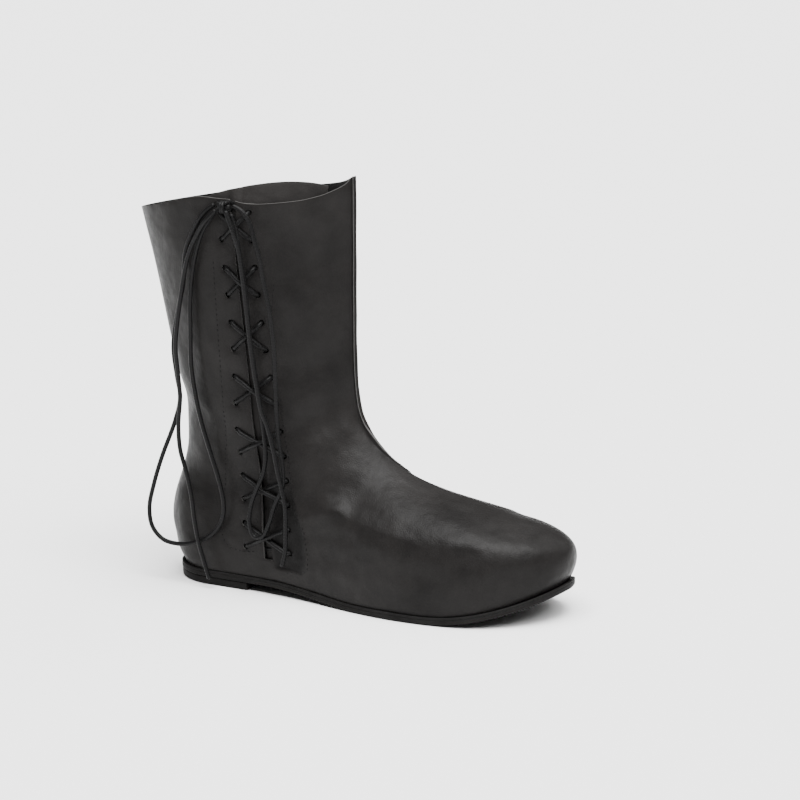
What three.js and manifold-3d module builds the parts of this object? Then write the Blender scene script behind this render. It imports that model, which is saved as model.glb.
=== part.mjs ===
// Side-laced costume boot for the right foot, in millimetres.
// X runs towards the toe, Y to the wearer's left (the inner side) and Z up. The origin is the middle
// of the heel's floor face. Stations along the sole are measured from the back of the heel.
import * as THREE from "three";
import { mergeVertices } from "three/addons/utils/BufferGeometryUtils.js";
import Module from "manifold-3d";

const wasm = await Module();
wasm.setup();

// The sole
const soleLength = 285;
const ballWidth = 102;
const toeSwing = 10; // how far the toe turns towards the inner side
const toeSpring = 20; // how far the tip of the toe stands off the floor
const soleThickness = 5;
const heelHeight = 5; // the low block under the sole
const heelBreast = 66; // from the back of the heel to its front edge
const liftInset = 0.4; // how far the low block lies inside the sole's edge
const archStart = heelBreast + 12; // where the sole starts to fall towards the floor
const edgeRound = 1.2; // at the foot of the sole's edge
const weltWidth = 1.8; // how far the sole stands out of the upper
const insoleThickness = 3;
const insoleMargin = 2.5; // between the insole's edge and the upper's wall

// Places along the sole as shares of its length
const archEnd = 0.56; // where it comes down to the floor
const springStart = 0.7; // where it starts to lift towards the toe
const swingStart = 0.45; // where its middle line starts to turn

// The upper
const upperWall = 1.8;
const footHeight = 55; // up to here the upper has the sole's outline
const flareHeight = 110; // from here the shaft widens towards the collar
const ankleHeight = 127; // from here it has the shaft's own outline
const instepHeight = 137; // where the front of the shaft starts to lean into the vamp
const shaftWidest = 0.42; // where the shaft is widest, from its back to its front
const collarFront = 280; // height of the collar at the front seam
const collarBack = 253;
const collarDip = 9.5; // how far the edge sinks between the lacing and the front seam
const collarSwell = 2.5; // how far it rises behind the lacing
const innerDip = 0.3; // share of the dip that the inner side has
const lacedShare = 0.565; // where the lacing meets the collar, from its back to its front
const collarWidth = 90;
const ankleWidth = 74;

// The front seam: two raw edges that stand out side by side down the shaft, and lie flat from the
// instep down the inner side
const seamWidth = 3.6;
const seamHeight = 2.6;
const seamGroove = 0.9; // the slot between the two edges
const seamRoot = 1.3; // how deep the seam sits in the wall
const seamPeak = 0.8; // how far it stands above the collar
const flatSeamHeight = 0.9;
const flatSeamStation = 165; // where it runs down to the sole

// The lacing slit in the outer side
const slitTop = 62.5; // station at the collar
const slitFoot = 84; // station at its lower end
const slitEndHeight = 24;
const slitTopWidth = 3;
const slitFootWidth = 7;
const holeRows = 14;
const holeDiameter = 4;
const firstHoleDrop = 10; // from the collar down to the first row of holes
const shaftHoleSpacing = 18.3;
const footHoleSpacing = 16.2;
const shaftHoleRows = 9; // rows at the wider spacing
const shaftHoleOffset = 9.5; // from the middle of the slit to the holes
const footHoleOffset = 17.5;
const holeSpreadHeight = 197; // below this the holes move away from the slit
const laceDiameter = 3;
const crossRoom = 0.15; // between the lace and the curve of the wall, beside the clearance
const crossBow = 0.5; // how far the lace stands out more over the slit

// The tongue behind the slit
const tongueWall = 1.4;
const tongueHeight = 22; // height of its lower edge
const tongueFoot = { rear: 54, front: 106 }; // stations of its edges at the foot
const tongueTop = { rear: 28, front: 117 }; // and at the collar
const tongueRise = 8; // the arch of its top
const tongueDrop = 3; // how far the ends of the arch lie below the collar
const tongueFollow = 4; // how far above the collar's back it still follows the wall
const tongueGap = 0.9; // between it and the wall
const tongueLean = 0.3; // how far it leans in for each mm that it stands above the collar

// Clearance between curved pieces
const clearance = 0.3;

// The outline of the sole on both sides of its middle line, as shares of its length and ball width
const OUTLINE = [
  { station: 0.0, outer: 0.3, inner: 0.3 },
  { station: 0.1, outer: 0.315, inner: 0.32 },
  { station: 0.2, outer: 0.32, inner: 0.32 },
  { station: 0.3, outer: 0.335, inner: 0.29 },
  { station: 0.4, outer: 0.37, inner: 0.27 },
  { station: 0.5, outer: 0.43, inner: 0.3 },
  { station: 0.6, outer: 0.485, inner: 0.38 },
  { station: 0.7, outer: 0.505, inner: 0.45 },
  { station: 0.8, outer: 0.49, inner: 0.475 },
  { station: 0.9, outer: 0.45, inner: 0.455 },
  { station: 1.0, outer: 0.41, inner: 0.42 },
];
const tailRound = 0.12; // share of the length over which the heel rounds
const noseRound = 0.22;

// Rings round the upper, from the sole to the collar. front and back are shares of the sole's
// length. The rises are shares of the way from the sole to the instep, and shaft is the share of
// the way from the instep to the collar. nose is the length of the ring's round front as a share
// of the sole's length, and girth its width as a share of the sole's.
const RINGS = [
  { front: 0.988, frontRise: 0.0, back: 0.01, backRise: 0.0, shaft: 0, nose: 0.22, girth: 0.965 },
  { front: 1.004, frontRise: 0.07, back: -0.01, backRise: 0.08, shaft: 0, nose: 0.22, girth: 1.0 },
  { front: 1.006, frontRise: 0.185, back: -0.022, backRise: 0.18, shaft: 0, nose: 0.23, girth: 1.0 },
  { front: 0.965, frontRise: 0.295, back: -0.025, backRise: 0.28, shaft: 0, nose: 0.26, girth: 0.97 },
  { front: 0.89, frontRise: 0.388, back: -0.016, backRise: 0.38, shaft: 0, nose: 0.34, girth: 0.93 },
  { front: 0.79, frontRise: 0.467, back: -0.002, backRise: 0.465, shaft: 0, nose: 0.42, girth: 0.89 },
  { front: 0.685, frontRise: 0.527, back: 0.01, backRise: 0.55, shaft: 0, nose: 0.48, girth: 0.86 },
  { front: 0.602, frontRise: 0.598, back: 0.02, backRise: 0.64, shaft: 0, nose: 0.5, girth: 0.83 },
  { front: 0.538, frontRise: 0.697, back: 0.026, backRise: 0.725, shaft: 0, nose: 0.5, girth: 0.8 },
  { front: 0.49, frontRise: 0.81, back: 0.026, backRise: 0.81, shaft: 0, nose: 0.5, girth: 0.8 },
  { front: 0.467, frontRise: 0.94, back: 0.016, backRise: 0.93, shaft: 0, nose: 0.5, girth: 0.8 },
  { front: 0.461, frontRise: 1, back: -0.012, backRise: 1, shaft: 0.16, nose: 0.5, girth: 0.8 },
  { front: 0.461, frontRise: 1, back: -0.034, backRise: 1, shaft: 0.42, nose: 0.5, girth: 0.8 },
  { front: 0.461, frontRise: 1, back: -0.058, backRise: 1, shaft: 0.7, nose: 0.5, girth: 0.8 },
  { front: 0.461, frontRise: 1, back: -0.091, backRise: 1, shaft: 1, nose: 0.5, girth: 0.8 },
];

const OUTER = -1; // the side of the lacing
const INNER = 1;

const mix = (a, b, t) => a + (b - a) * t;
const clamp01 = (t) => Math.min(Math.max(t, 0), 1);
const smooth = (t) => clamp01(t) ** 2 * (3 - 2 * clamp01(t));

// A table's column as a smooth curve through even rows, with t from 0 at the first to 1 at the last
function curve(table, name, t) {
  const last = table.length - 1;
  const i = Math.min(Math.floor(clamp01(t) * last), last - 1);
  const u = clamp01(t) * last - i;
  const before = i > 0 ? table[i - 1][name] : 2 * table[0][name] - table[1][name];
  const after = i + 2 <= last ? table[i + 2][name] : 2 * table[last][name] - table[last - 1][name];
  const [a, b] = [table[i][name], table[i + 1][name]];
  return (
    ((1 - u) ** 3 * before + (3 * u ** 3 - 6 * u ** 2 + 4) * a) / 6 +
    ((-3 * u ** 3 + 3 * u ** 2 + 3 * u + 1) * b + u ** 3 * after) / 6
  );
}

// Heights of the sole at a station: flat over the heel, down to the floor at the ball, up at the toe
function soleBottom(station) {
  const share = station / soleLength;
  const start = archStart / soleLength;
  const arch = heelHeight * (1 - smooth((share - start) / (archEnd - start)));
  return arch + toeSpring * Math.max((share - springStart) / (1 - springStart), 0) ** 2;
}
const soleTop = (station) => soleBottom(station) + soleThickness;
const soleMiddle = (station) =>
  toeSwing * Math.max((station / soleLength - swingStart) / (1 - swingStart), 0) ** 2;

// How wide a round end is at a distance from its tip
const roundTail = (distance) => Math.sqrt(1 - (1 - clamp01(distance)) ** 2);
const roundNose = (distance) => Math.sqrt(1 - (1 - clamp01(distance)) ** 2.2);
const sideWidth = (station, side) =>
  curve(OUTLINE, side === OUTER ? "outer" : "inner", station / soleLength) * ballWidth;

// Edge of a flat piece cut to the sole's outline, inset all round
function outlineEdge(station, side, inset) {
  const tail = roundTail((station - inset) / (tailRound * soleLength));
  const nose = roundNose((soleLength - inset - station) / (noseRound * soleLength));
  return soleMiddle(station) + side * (sideWidth(station, side) - inset) * tail * nose;
}

// One ring of the upper, from its row in the table
function ringAt(rise) {
  const value = (name) => curve(RINGS, name, rise);
  const front = value("front") * soleLength;
  const back = value("back") * soleLength;
  const shaft = value("shaft");
  const height = (station, climb, collar) =>
    mix(mix(soleTop(station) + clearance, instepHeight, climb), collar, shaft);
  return {
    front,
    back,
    rise,
    shaft,
    frontHeight: height(front, value("frontRise"), collarFront),
    backHeight: height(back, value("backRise"), collarBack),
    nose: value("nose") * soleLength,
    girth: value("girth"),
  };
}

// Height of a ring at a share of the way from its back to its front
function ringHeight(ring, share, side) {
  const station = mix(ring.back, ring.front, share);
  const straight = mix(soleTop(ring.back), soleTop(ring.front), share);
  const onSole = (1 - smooth(ring.rise / 0.22)) * (soleTop(station) - straight);
  const ahead = clamp01((share - lacedShare) / (1 - lacedShare));
  const laced = side === OUTER ? 1 : 0;
  const dip = collarDip * smooth(ahead / 0.2) * (1 - ahead ** 7) * mix(innerDip, 1, laced);
  const swell = collarSwell * smooth(share / 0.5) * (1 - smooth(ahead / 0.2)) * laced;
  const edge = ring.shaft ** 6 * (swell - dip);
  return mix(ring.backHeight, ring.frontHeight, share) + onSole + edge;
}

// Point of the upper's outer face on a ring
function ringPoint(ring, share, side) {
  const station = mix(ring.back, ring.front, share);
  const height = ringHeight(ring, share, side);
  const foot =
    sideWidth(station, side) *
    ring.girth *
    roundTail((station - ring.back) / (tailRound * soleLength)) *
    roundNose((ring.front - station) / ring.nose);
  const wedge = 1 - clamp01((share - shaftWidest) / (1 - shaftWidest)) ** 1.7;
  const flare = smooth((height - flareHeight) / (collarFront - flareHeight));
  const shaft = (mix(ankleWidth, collarWidth, flare) / 2) * roundTail(share / shaftWidest) * wedge;
  const across = mix(foot, shaft, smooth((height - footHeight) / (ankleHeight - footHeight)));
  return new THREE.Vector3(station, soleMiddle(station) + side * across, height);
}

// Evenly spaced points round a ring: front, outer side, back, inner side
function spacedRing(rise, columns) {
  const ring = ringAt(rise);
  const half = (side) => {
    const shares = Array.from({ length: 41 }, (_, i) => (1 + Math.cos((Math.PI * i) / 40)) / 2);
    const points = shares.map((share) => ringPoint(ring, share, side));
    return new THREE.CatmullRomCurve3(points).getSpacedPoints(columns / 2);
  };
  return [...half(OUTER), ...half(INNER).reverse().slice(1, -1)];
}

// A closed geometry from points and triangles, with its faces turned outwards
function closedGeometry(points, triangles) {
  let volume = 0;
  for (let i = 0; i < triangles.length; i += 3) {
    const [a, b, c] = [0, 1, 2].map((k) => points[triangles[i + k]]);
    volume += a.dot(new THREE.Vector3().crossVectors(b, c));
  }
  if (volume < 0) triangles.reverse();
  const geometry = new THREE.BufferGeometry().setFromPoints(points);
  geometry.setIndex(triangles);
  return geometry;
}

// Solid through a row of closed sections, with both ends closed
function loft(sections) {
  const count = sections[0].length;
  const points = sections.flat();
  const triangles = [];
  for (let j = 0; j + 1 < sections.length; j++) {
    for (let i = 0; i < count; i++) {
      const [a, b] = [j * count + i, j * count + ((i + 1) % count)];
      triangles.push(a, b, b + count, a, b + count, a + count);
    }
  }
  const last = (sections.length - 1) * count;
  for (let i = 1; i + 1 < count; i++) {
    triangles.push(0, i + 1, i, last, last + i, last + i + 1);
  }
  return closedGeometry(points, triangles);
}

// Normals of a grid of points, by its own neighbours
function gridNormals(grid, closed) {
  return grid.map((row, j) =>
    row.map((_, i) => {
      const n = row.length;
      const [left, right] = closed
        ? [(i + n - 1) % n, (i + 1) % n]
        : [Math.max(i - 1, 0), Math.min(i + 1, n - 1)];
      const along = row[right].clone().sub(row[left]);
      const up = grid[Math.min(j + 1, grid.length - 1)][i].clone().sub(grid[Math.max(j - 1, 0)][i]);
      return along.cross(up).normalize();
    }),
  );
}

// Wall between an outer and an inner grid
function wall(outer, inner, closed) {
  const rows = outer.length;
  const count = outer[0].length;
  const points = [...outer.flat(), ...inner.flat()];
  const at = (face, j, i) => face * rows * count + j * count + (i % count);
  const triangles = [];
  const quad = (a, b, c, d) => triangles.push(a, b, c, a, c, d);
  const spans = closed ? count : count - 1;
  for (let i = 0; i < spans; i++) {
    for (let j = 0; j + 1 < rows; j++) {
      quad(at(0, j, i), at(0, j, i + 1), at(0, j + 1, i + 1), at(0, j + 1, i));
      quad(at(1, j, i), at(1, j + 1, i), at(1, j + 1, i + 1), at(1, j, i + 1));
    }
    quad(at(0, 0, i), at(1, 0, i), at(1, 0, i + 1), at(0, 0, i + 1));
    quad(at(0, rows - 1, i), at(0, rows - 1, i + 1), at(1, rows - 1, i + 1), at(1, rows - 1, i));
  }
  for (let j = 0; !closed && j + 1 < rows; j++) {
    const end = count - 1;
    quad(at(0, j, 0), at(0, j + 1, 0), at(1, j + 1, 0), at(1, j, 0));
    quad(at(0, j, end), at(1, j, end), at(1, j + 1, end), at(0, j + 1, end));
  }
  return closedGeometry(points, triangles);
}

// Turns a closed geometry into a solid that can be cut and joined, and back
function solidOf(geometry) {
  const plain = geometry.clone();
  plain.deleteAttribute("normal");
  plain.deleteAttribute("uv");
  const merged = mergeVertices(plain, 1e-5);
  return new wasm.Manifold(
    new wasm.Mesh({
      numProp: 3,
      vertProperties: new Float32Array(merged.attributes.position.array),
      triVerts: new Uint32Array(merged.index.array),
    }),
  );
}
function geometryOf(solid) {
  const mesh = solid.getMesh();
  const geometry = new THREE.BufferGeometry();
  geometry.setAttribute("position", new THREE.BufferAttribute(mesh.vertProperties, 3));
  geometry.setIndex(new THREE.BufferAttribute(mesh.triVerts, 1));
  geometry.computeVertexNormals();
  return geometry;
}

const leather = new THREE.MeshStandardMaterial({ color: "#232324", roughness: 0.5, metalness: 0 });
const rubber = new THREE.MeshStandardMaterial({ color: "#161617", roughness: 0.8, metalness: 0 });
const lining = new THREE.MeshStandardMaterial({ color: "#1b1a19", roughness: 0.8, metalness: 0 });
const cord = new THREE.MeshStandardMaterial({ color: "#131314", roughness: 0.6, metalness: 0 });

const boot = new THREE.Group();
boot.position.x = -heelBreast / 2;
function add(name, geometry, material) {
  const piece = new THREE.Mesh(geometry, material);
  piece.name = name;
  boot.add(piece);
}

// Stations of a flat piece, closer together where its ends are round
function stations(from, to, count) {
  const middle = (from + to) / 2;
  return Array.from({ length: count }, (_, i) => {
    const turn = (Math.PI * (i + 0.35)) / (count - 0.3);
    return middle - ((to - from) / 2) * Math.cos(turn);
  });
}

// Flat piece cut to the sole's outline, between two heights that follow the station
function plate(from, to, inset, bottom, top, round, count) {
  const sections = stations(from, to, count).map((station) => {
    const edge = (side, extra) => outlineEdge(station, side, inset + extra);
    const point = (y, z) => new THREE.Vector3(station, y, z);
    const [low, high] = [bottom(station), top(station)];
    return [
      point(edge(OUTER, round), low),
      point(edge(INNER, round), low),
      point(edge(INNER, 0), low + round),
      point(edge(INNER, 0), high),
      point(edge(OUTER, 0), high),
      point(edge(OUTER, 0), low + round),
    ];
  });
  return loft(sections);
}

function addSole() {
  const outsole = plate(0, soleLength, 0, soleBottom, soleTop, edgeRound, 34);
  add("outsole", outsole, rubber);
  const lift = plate(0, heelBreast, liftInset, () => 0, () => heelHeight, edgeRound / 2, 16);
  add("heel_lift", lift, rubber);
  const inset = weltWidth + upperWall + insoleMargin;
  const seat = (station) => soleTop(station) + clearance;
  const board = (station) => seat(station) + insoleThickness;
  add("insole", plate(inset, soleLength - inset, inset, seat, board, 0, 26), lining);
}

// Upper: the outer face's grid and the same grid drawn in by the wall
const upperColumns = 44;
const upperRows = 22;
function upperGrids() {
  const rises = Array.from({ length: upperRows + 1 }, (_, j) => j / upperRows);
  const outer = rises.map((rise) => spacedRing(rise, upperColumns));
  const normals = gridNormals(outer, true);
  const inward = (depth) =>
    outer.map((row, j) =>
      row.map((point, i) => {
        const moved = point.clone().addScaledVector(normals[j][i], depth);
        if (j === 0) moved.z = soleTop(moved.x) + clearance;
        return moved;
      }),
    );
  return { outer, inward };
}

// Outer face of the outer side at a station and height, and its normal
function onOuterSide(station, height) {
  const pointAt = (rise) => {
    const ring = ringAt(rise);
    const share = clamp01((station - ring.back) / (ring.front - ring.back));
    return ringPoint(ring, share, OUTER);
  };
  let [low, high] = [0, 1];
  for (let i = 0; i < 24; i++) {
    const middle = (low + high) / 2;
    if (pointAt(middle).z < height) low = middle;
    else high = middle;
  }
  return pointAt(low);
}
function outwardAt(station, height) {
  const step = 2;
  const along = onOuterSide(station + step, height).sub(onOuterSide(station - step, height));
  const up = onOuterSide(station, height + step).sub(onOuterSide(station, height - step));
  return along.cross(up).normalize();
}
function standingOff(station, height, distance) {
  return onOuterSide(station, height).addScaledVector(outwardAt(station, height), distance);
}

// The slit's middle and width, and its two columns of holes
const slitShare = (height) => clamp01((height - slitEndHeight) / (collarFront - slitEndHeight));
const slitStation = (height) => mix(slitFoot, slitTop, slitShare(height));
const firstHole = mix(collarBack, collarFront, lacedShare) - firstHoleDrop;
function holeHeight(row) {
  const inShaft = Math.min(row, shaftHoleRows - 1);
  return firstHole - inShaft * shaftHoleSpacing - (row - inShaft) * footHoleSpacing;
}
function holeStation(row, edge) {
  const height = holeHeight(row);
  const low = smooth((holeSpreadHeight - height) / instepHeight);
  return slitStation(height) + edge * mix(shaftHoleOffset, footHoleOffset, low);
}

// Sections of the slit, from its round lower end to above the collar: how far up they lie as a
// share of the way to the collar, and their share of the slit's full width there
const SLIT_SECTIONS = [
  { up: 0, width: 0.35 },
  { up: 0.006, width: 0.75 },
  { up: 0.02, width: 1 },
  { up: 0.16, width: 1 },
  { up: 0.35, width: 1 },
  { up: 0.55, width: 1 },
  { up: 0.74, width: 1 },
  { up: 0.94, width: 1 },
  { up: 1.06, width: 1 },
];
function slitCutter() {
  const [near, far] = [0, -ballWidth];
  const sections = SLIT_SECTIONS.map(({ up, width }) => {
    const height = mix(slitEndHeight, collarFront, up);
    const half = (width * mix(slitFootWidth, slitTopWidth, slitShare(height))) / 2;
    const middle = slitStation(height);
    return [
      new THREE.Vector3(middle - half, near, height),
      new THREE.Vector3(middle + half, near, height),
      new THREE.Vector3(middle + half, far, height),
      new THREE.Vector3(middle - half, far, height),
    ];
  });
  return solidOf(loft(sections));
}

function holeCutter(row, edge) {
  const length = 30;
  const cutter = new THREE.CylinderGeometry(holeDiameter / 2, holeDiameter / 2, length, 6);
  const middle = onOuterSide(holeStation(row, edge), holeHeight(row));
  cutter.translate(middle.x, middle.y, middle.z);
  return solidOf(cutter);
}

// Where the seam lies on a ring, counted from its front: at the front all down the shaft, then
// round to the station where it runs down the inner side
function seamTurn(ring) {
  const past = 1 - (flatSeamStation - ring.back) / (ring.front - ring.back);
  const softness = 0.03;
  return (past + Math.sqrt(past ** 2 + softness ** 2)) / 2;
}
function seamPoint(rise, aside) {
  const ring = ringAt(rise);
  const turn = seamTurn(ring) + aside;
  return ringPoint(ring, 1 - Math.abs(turn), turn < 0 ? OUTER : INNER);
}

// A point of the seam's line and the directions across it and out of the leather
function seamFrame(rise) {
  const middle = seamPoint(rise, 0);
  const across = seamPoint(rise, 0.006).sub(seamPoint(rise, -0.006)).normalize();
  const along = seamPoint(Math.min(rise + 0.01, 1), 0).sub(seamPoint(rise - 0.01, 0)).normalize();
  const out = new THREE.Vector3().crossVectors(along, across).normalize();
  const ahead = middle.clone().sub(new THREE.Vector3(slitTop, 0, instepHeight / 2));
  if (out.dot(ahead) < 0) out.negate();
  return { middle, across, out };
}

// The raised seam: two edges with a groove between, from the sole to just above the collar
function seam() {
  const rows = 32;
  return Array.from({ length: rows + 1 }, (_, i) => {
    const rise = mix(0.035, 1, i / rows);
    const { middle, across, out } = seamFrame(rise);
    if (i === rows) middle.z += seamPeak;
    const height = mix(flatSeamHeight, seamHeight, smooth((rise - 0.5) / 0.15));
    const point = (side, up) =>
      middle.clone().addScaledVector(across, side).addScaledVector(out, up);
    const [half, groove] = [seamWidth / 2, seamGroove / 2];
    return [
      point(-half, -seamRoot),
      point(half, -seamRoot),
      point(half, height),
      point(groove, height),
      point(groove, 0.3),
      point(-groove, 0.3),
      point(-groove, height),
      point(-half, height),
    ];
  });
}

// Tongue: a sheet inside the wall, with an arched top that leans in above the collar
const tongueColumns = 10;
const tongueRows = 12;
function tongueGrid(depth) {
  return Array.from({ length: tongueRows + 1 }, (_, j) =>
    Array.from({ length: tongueColumns + 1 }, (_, i) => {
      const across = i / tongueColumns;
      const edge = (row) => mix(row.rear, row.front, across);
      const arch = tongueRise * (1 - Math.abs(2 * across - 1) ** 2.4) - tongueDrop;
      const collar = ringAt(1);
      const collarShare = (edge(tongueTop) - collar.back) / (collar.front - collar.back);
      const top = mix(collarBack, collarFront, collarShare) + arch;
      const height = mix(tongueHeight, top, j / tongueRows);
      const station = mix(edge(tongueFoot), edge(tongueTop), clamp01(height / collarBack));
      const below = Math.min(height, collarBack + tongueFollow);
      const point = standingOff(station, below, -(upperWall + tongueGap + depth));
      point.z += height - below;
      point.y += (height - below) * tongueLean;
      return point;
    }),
  );
}

// A round cord along a row of points
function tube(points, diameter, sides, steps) {
  const ring = Array.from({ length: sides }, (_, i) => {
    const turn = (2 * Math.PI * i) / sides;
    return new THREE.Vector2(Math.cos(turn), Math.sin(turn)).multiplyScalar(diameter / 2);
  });
  const path = new THREE.CatmullRomCurve3(points);
  const options = { steps, bevelEnabled: false, extrudePath: path };
  return new THREE.ExtrudeGeometry(new THREE.Shape(ring), options);
}

// A crossing of the lace over the slit, from two holes behind it to the two ahead of it
function laceCross(row) {
  const strand = (from, to) => {
    const stand = laceDiameter / 2 + clearance + crossRoom;
    const ends = [standingOff(...from, stand), standingOff(...to, stand)];
    const [station, height] = [(from[0] + to[0]) / 2, (from[1] + to[1]) / 2];
    const points = [ends[0], standingOff(station, height, stand + crossBow), ends[1]];
    return solidOf(tube(points, laceDiameter, 6, 3));
  };
  const hole = (rowHere, edge) => [holeStation(rowHere, edge), holeHeight(rowHere)];
  const rising = strand(hole(row + 1, -1), hole(row, 1));
  const falling = strand(hole(row, -1), hole(row + 1, 1));
  return rising.add(falling);
}

// The bow's cords, as they hang from the knot
const KNOT = { at: [61, -46.3, 262], size: [6.5, 4.6, 4.5] };
const LOOP_REAR = [
  [53.8, -47, 263.4], [46, -48, 257], [37, -47, 244], [31, -46, 231], [28, -45, 209], [22, -43, 189],
  [17, -41, 165], [18, -39, 145], [19, -37, 130], [14, -36, 113], [3, -36, 87], [-4, -36, 67],
  [-8, -36, 50], [-6, -36, 37], [2, -36, 29], [13, -36, 27], [26, -36, 29], [40, -36, 36],
  [49, -36, 47], [51, -36, 59], [48, -36, 74], [42, -36, 92], [36, -37, 112], [32, -38, 131],
  [30, -40, 153], [31, -42, 176], [34, -45, 209], [40, -47, 233], [46, -48.5, 246],
  [51, -49.3, 253], [54.6, -48.4, 258],
];
const END_REAR = [
  [57.2, -51, 260.2], [51.5, -53, 254], [45, -52, 246], [36, -50.5, 230], [28, -49, 199],
  [22, -46.5, 166], [22, -44, 148], [22, -42, 131], [19, -40, 111], [20, -40, 95], [24, -40, 81],
  [28, -40, 64], [30, -40, 48], [33, -40, 32], [37, -40, 19], [41, -40, 7],
];
const LOOP_FRONT = [
  [68.2, -47, 263.4], [75, -47, 260], [80, -46, 252], [83, -46, 242], [86, -45, 230], [88, -44, 216],
  [91, -43, 200], [93, -42, 183], [94, -41, 166], [94, -39.5, 136], [95, -38.5, 110], [98, -38.5, 90],
  [98, -39, 77], [92, -39, 64], [88, -40, 51], [83, -40.5, 42], [77, -40.5, 41], [73, -40, 50],
  [74, -39, 62], [78, -39, 73], [83, -38.5, 84], [85, -38, 96], [84, -38, 110], [81, -39, 136],
  [78, -40, 158], [76, -42, 181], [74, -43, 208], [71, -44.5, 232], [70, -47, 248], [67.4, -48.4, 258],
];
const END_FRONT = [
  [64.8, -51, 260.2], [70, -51.5, 248], [73, -49.6, 236], [75, -48.5, 219], [77, -47, 196],
  [79, -46, 172], [82, -44.5, 147], [85, -43.5, 129], [89, -42.5, 118], [93, -42.5, 104],
  [96, -42.5, 90], [99, -42.5, 78], [102, -43, 66], [103, -44, 50], [103, -45, 36], [101, -46, 25],
];
function addCord(name, route) {
  const points = route.map((point) => new THREE.Vector3(...point));
  const length = new THREE.CatmullRomCurve3(points).getLength();
  const steps = Math.round(length / (3 * laceDiameter));
  add(name, tube(points, laceDiameter, 8, steps), cord);
}

addSole();

const { outer, inward } = upperGrids();
let upper = solidOf(wall(outer, inward(upperWall), true)).add(solidOf(loft(seam())));
upper = upper.subtract(slitCutter());
for (let row = 0; row < holeRows; row++) {
  upper = upper.subtract(holeCutter(row, -1)).subtract(holeCutter(row, 1));
}
add("upper", geometryOf(upper), leather);

add("tongue", wall(tongueGrid(0), tongueGrid(tongueWall), false), leather);

for (let row = 0; row < holeRows; row += 2) {
  add(`lace_cross_${row / 2 + 1}`, geometryOf(laceCross(row)), cord);
}

const knot = new THREE.SphereGeometry(1, 10, 7).scale(...KNOT.size).translate(...KNOT.at);
add("lace_knot", knot, cord);
addCord("lace_loop_rear", LOOP_REAR);
addCord("lace_end_rear", END_REAR);
addCord("lace_loop_front", LOOP_FRONT);
addCord("lace_end_front", END_FRONT);

export default boot;
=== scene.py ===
# Side-laced boot for the right foot: leather upper, sole, tongue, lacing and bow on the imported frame
import math

import bmesh
import bpy
import numpy as np
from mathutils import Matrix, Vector
from mathutils.bvhtree import BVHTree


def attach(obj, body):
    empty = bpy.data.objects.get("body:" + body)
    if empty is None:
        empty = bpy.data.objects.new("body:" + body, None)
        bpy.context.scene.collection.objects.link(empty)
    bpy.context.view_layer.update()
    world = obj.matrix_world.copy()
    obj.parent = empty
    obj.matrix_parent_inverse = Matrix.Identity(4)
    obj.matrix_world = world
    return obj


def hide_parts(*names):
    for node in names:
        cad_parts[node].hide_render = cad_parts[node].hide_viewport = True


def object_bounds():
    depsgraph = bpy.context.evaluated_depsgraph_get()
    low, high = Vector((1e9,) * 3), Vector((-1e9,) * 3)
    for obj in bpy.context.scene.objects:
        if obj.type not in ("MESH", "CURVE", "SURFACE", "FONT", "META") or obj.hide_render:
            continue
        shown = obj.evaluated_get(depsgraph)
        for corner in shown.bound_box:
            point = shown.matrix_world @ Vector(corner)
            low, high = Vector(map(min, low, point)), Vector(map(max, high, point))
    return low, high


bl_info = {
    "name": "Side-laced Boot",
    "version": (1, 0, 0),
    "blender": (4, 5, 0),
    "location": "3D View > Sidebar > Boot",
    "description": "Builds the upper, sole, tongue, lacing and bow of a side-laced boot on its frame",
    "category": "Add Mesh",
}

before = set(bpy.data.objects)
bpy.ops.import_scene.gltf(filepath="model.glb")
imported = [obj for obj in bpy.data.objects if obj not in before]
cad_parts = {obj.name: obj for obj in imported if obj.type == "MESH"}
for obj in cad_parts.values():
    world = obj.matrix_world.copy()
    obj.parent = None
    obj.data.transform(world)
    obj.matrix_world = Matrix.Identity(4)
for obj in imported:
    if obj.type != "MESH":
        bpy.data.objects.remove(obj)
CAD_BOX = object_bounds()
FLOOR_HEIGHT = CAD_BOX[0].z

# All lengths from here to the materials are in millimetres, and stations run from the heel's back
# towards the toe. Y points to the inner side of the foot.
METRES = 0.001
OUTER = -1
INNER = 1

# The sole
SOLE_LENGTH = 285
BALL_WIDTH = 102
TOE_SWING = 10
TOE_SPRING = 20
SOLE_THICKNESS = 5
HEEL_HEIGHT = 5
HEEL_BREAST = 66
LIFT_INSET = 0.4
ARCH_START = HEEL_BREAST + 12
ARCH_END = 0.56
SPRING_START = 0.7
SWING_START = 0.45
WELT_WIDTH = 1.8
INSOLE_THICKNESS = 3
INSOLE_MARGIN = 2.5
CLEARANCE = 0.3
TAIL_ROUND = 0.12
NOSE_ROUND = 0.22
ORIGIN_STATION = HEEL_BREAST / 2

# The upper
UPPER_WALL = 1.8
FOOT_HEIGHT = 55
FLARE_HEIGHT = 110
ANKLE_HEIGHT = 127
INSTEP_HEIGHT = 137
SHAFT_WIDEST = 0.42
COLLAR_FRONT = 280
COLLAR_BACK = 253
COLLAR_DIP = 9.5
INNER_DIP = 0.3
LACED_SHARE = 0.565
COLLAR_WIDTH = 90
ANKLE_WIDTH = 74

# The front seam
SEAM_HEIGHT = 2.6
SEAM_PEAK = 0.8
FLAT_SEAM_HEIGHT = 0.9
FLAT_SEAM_STATION = 165

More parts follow.
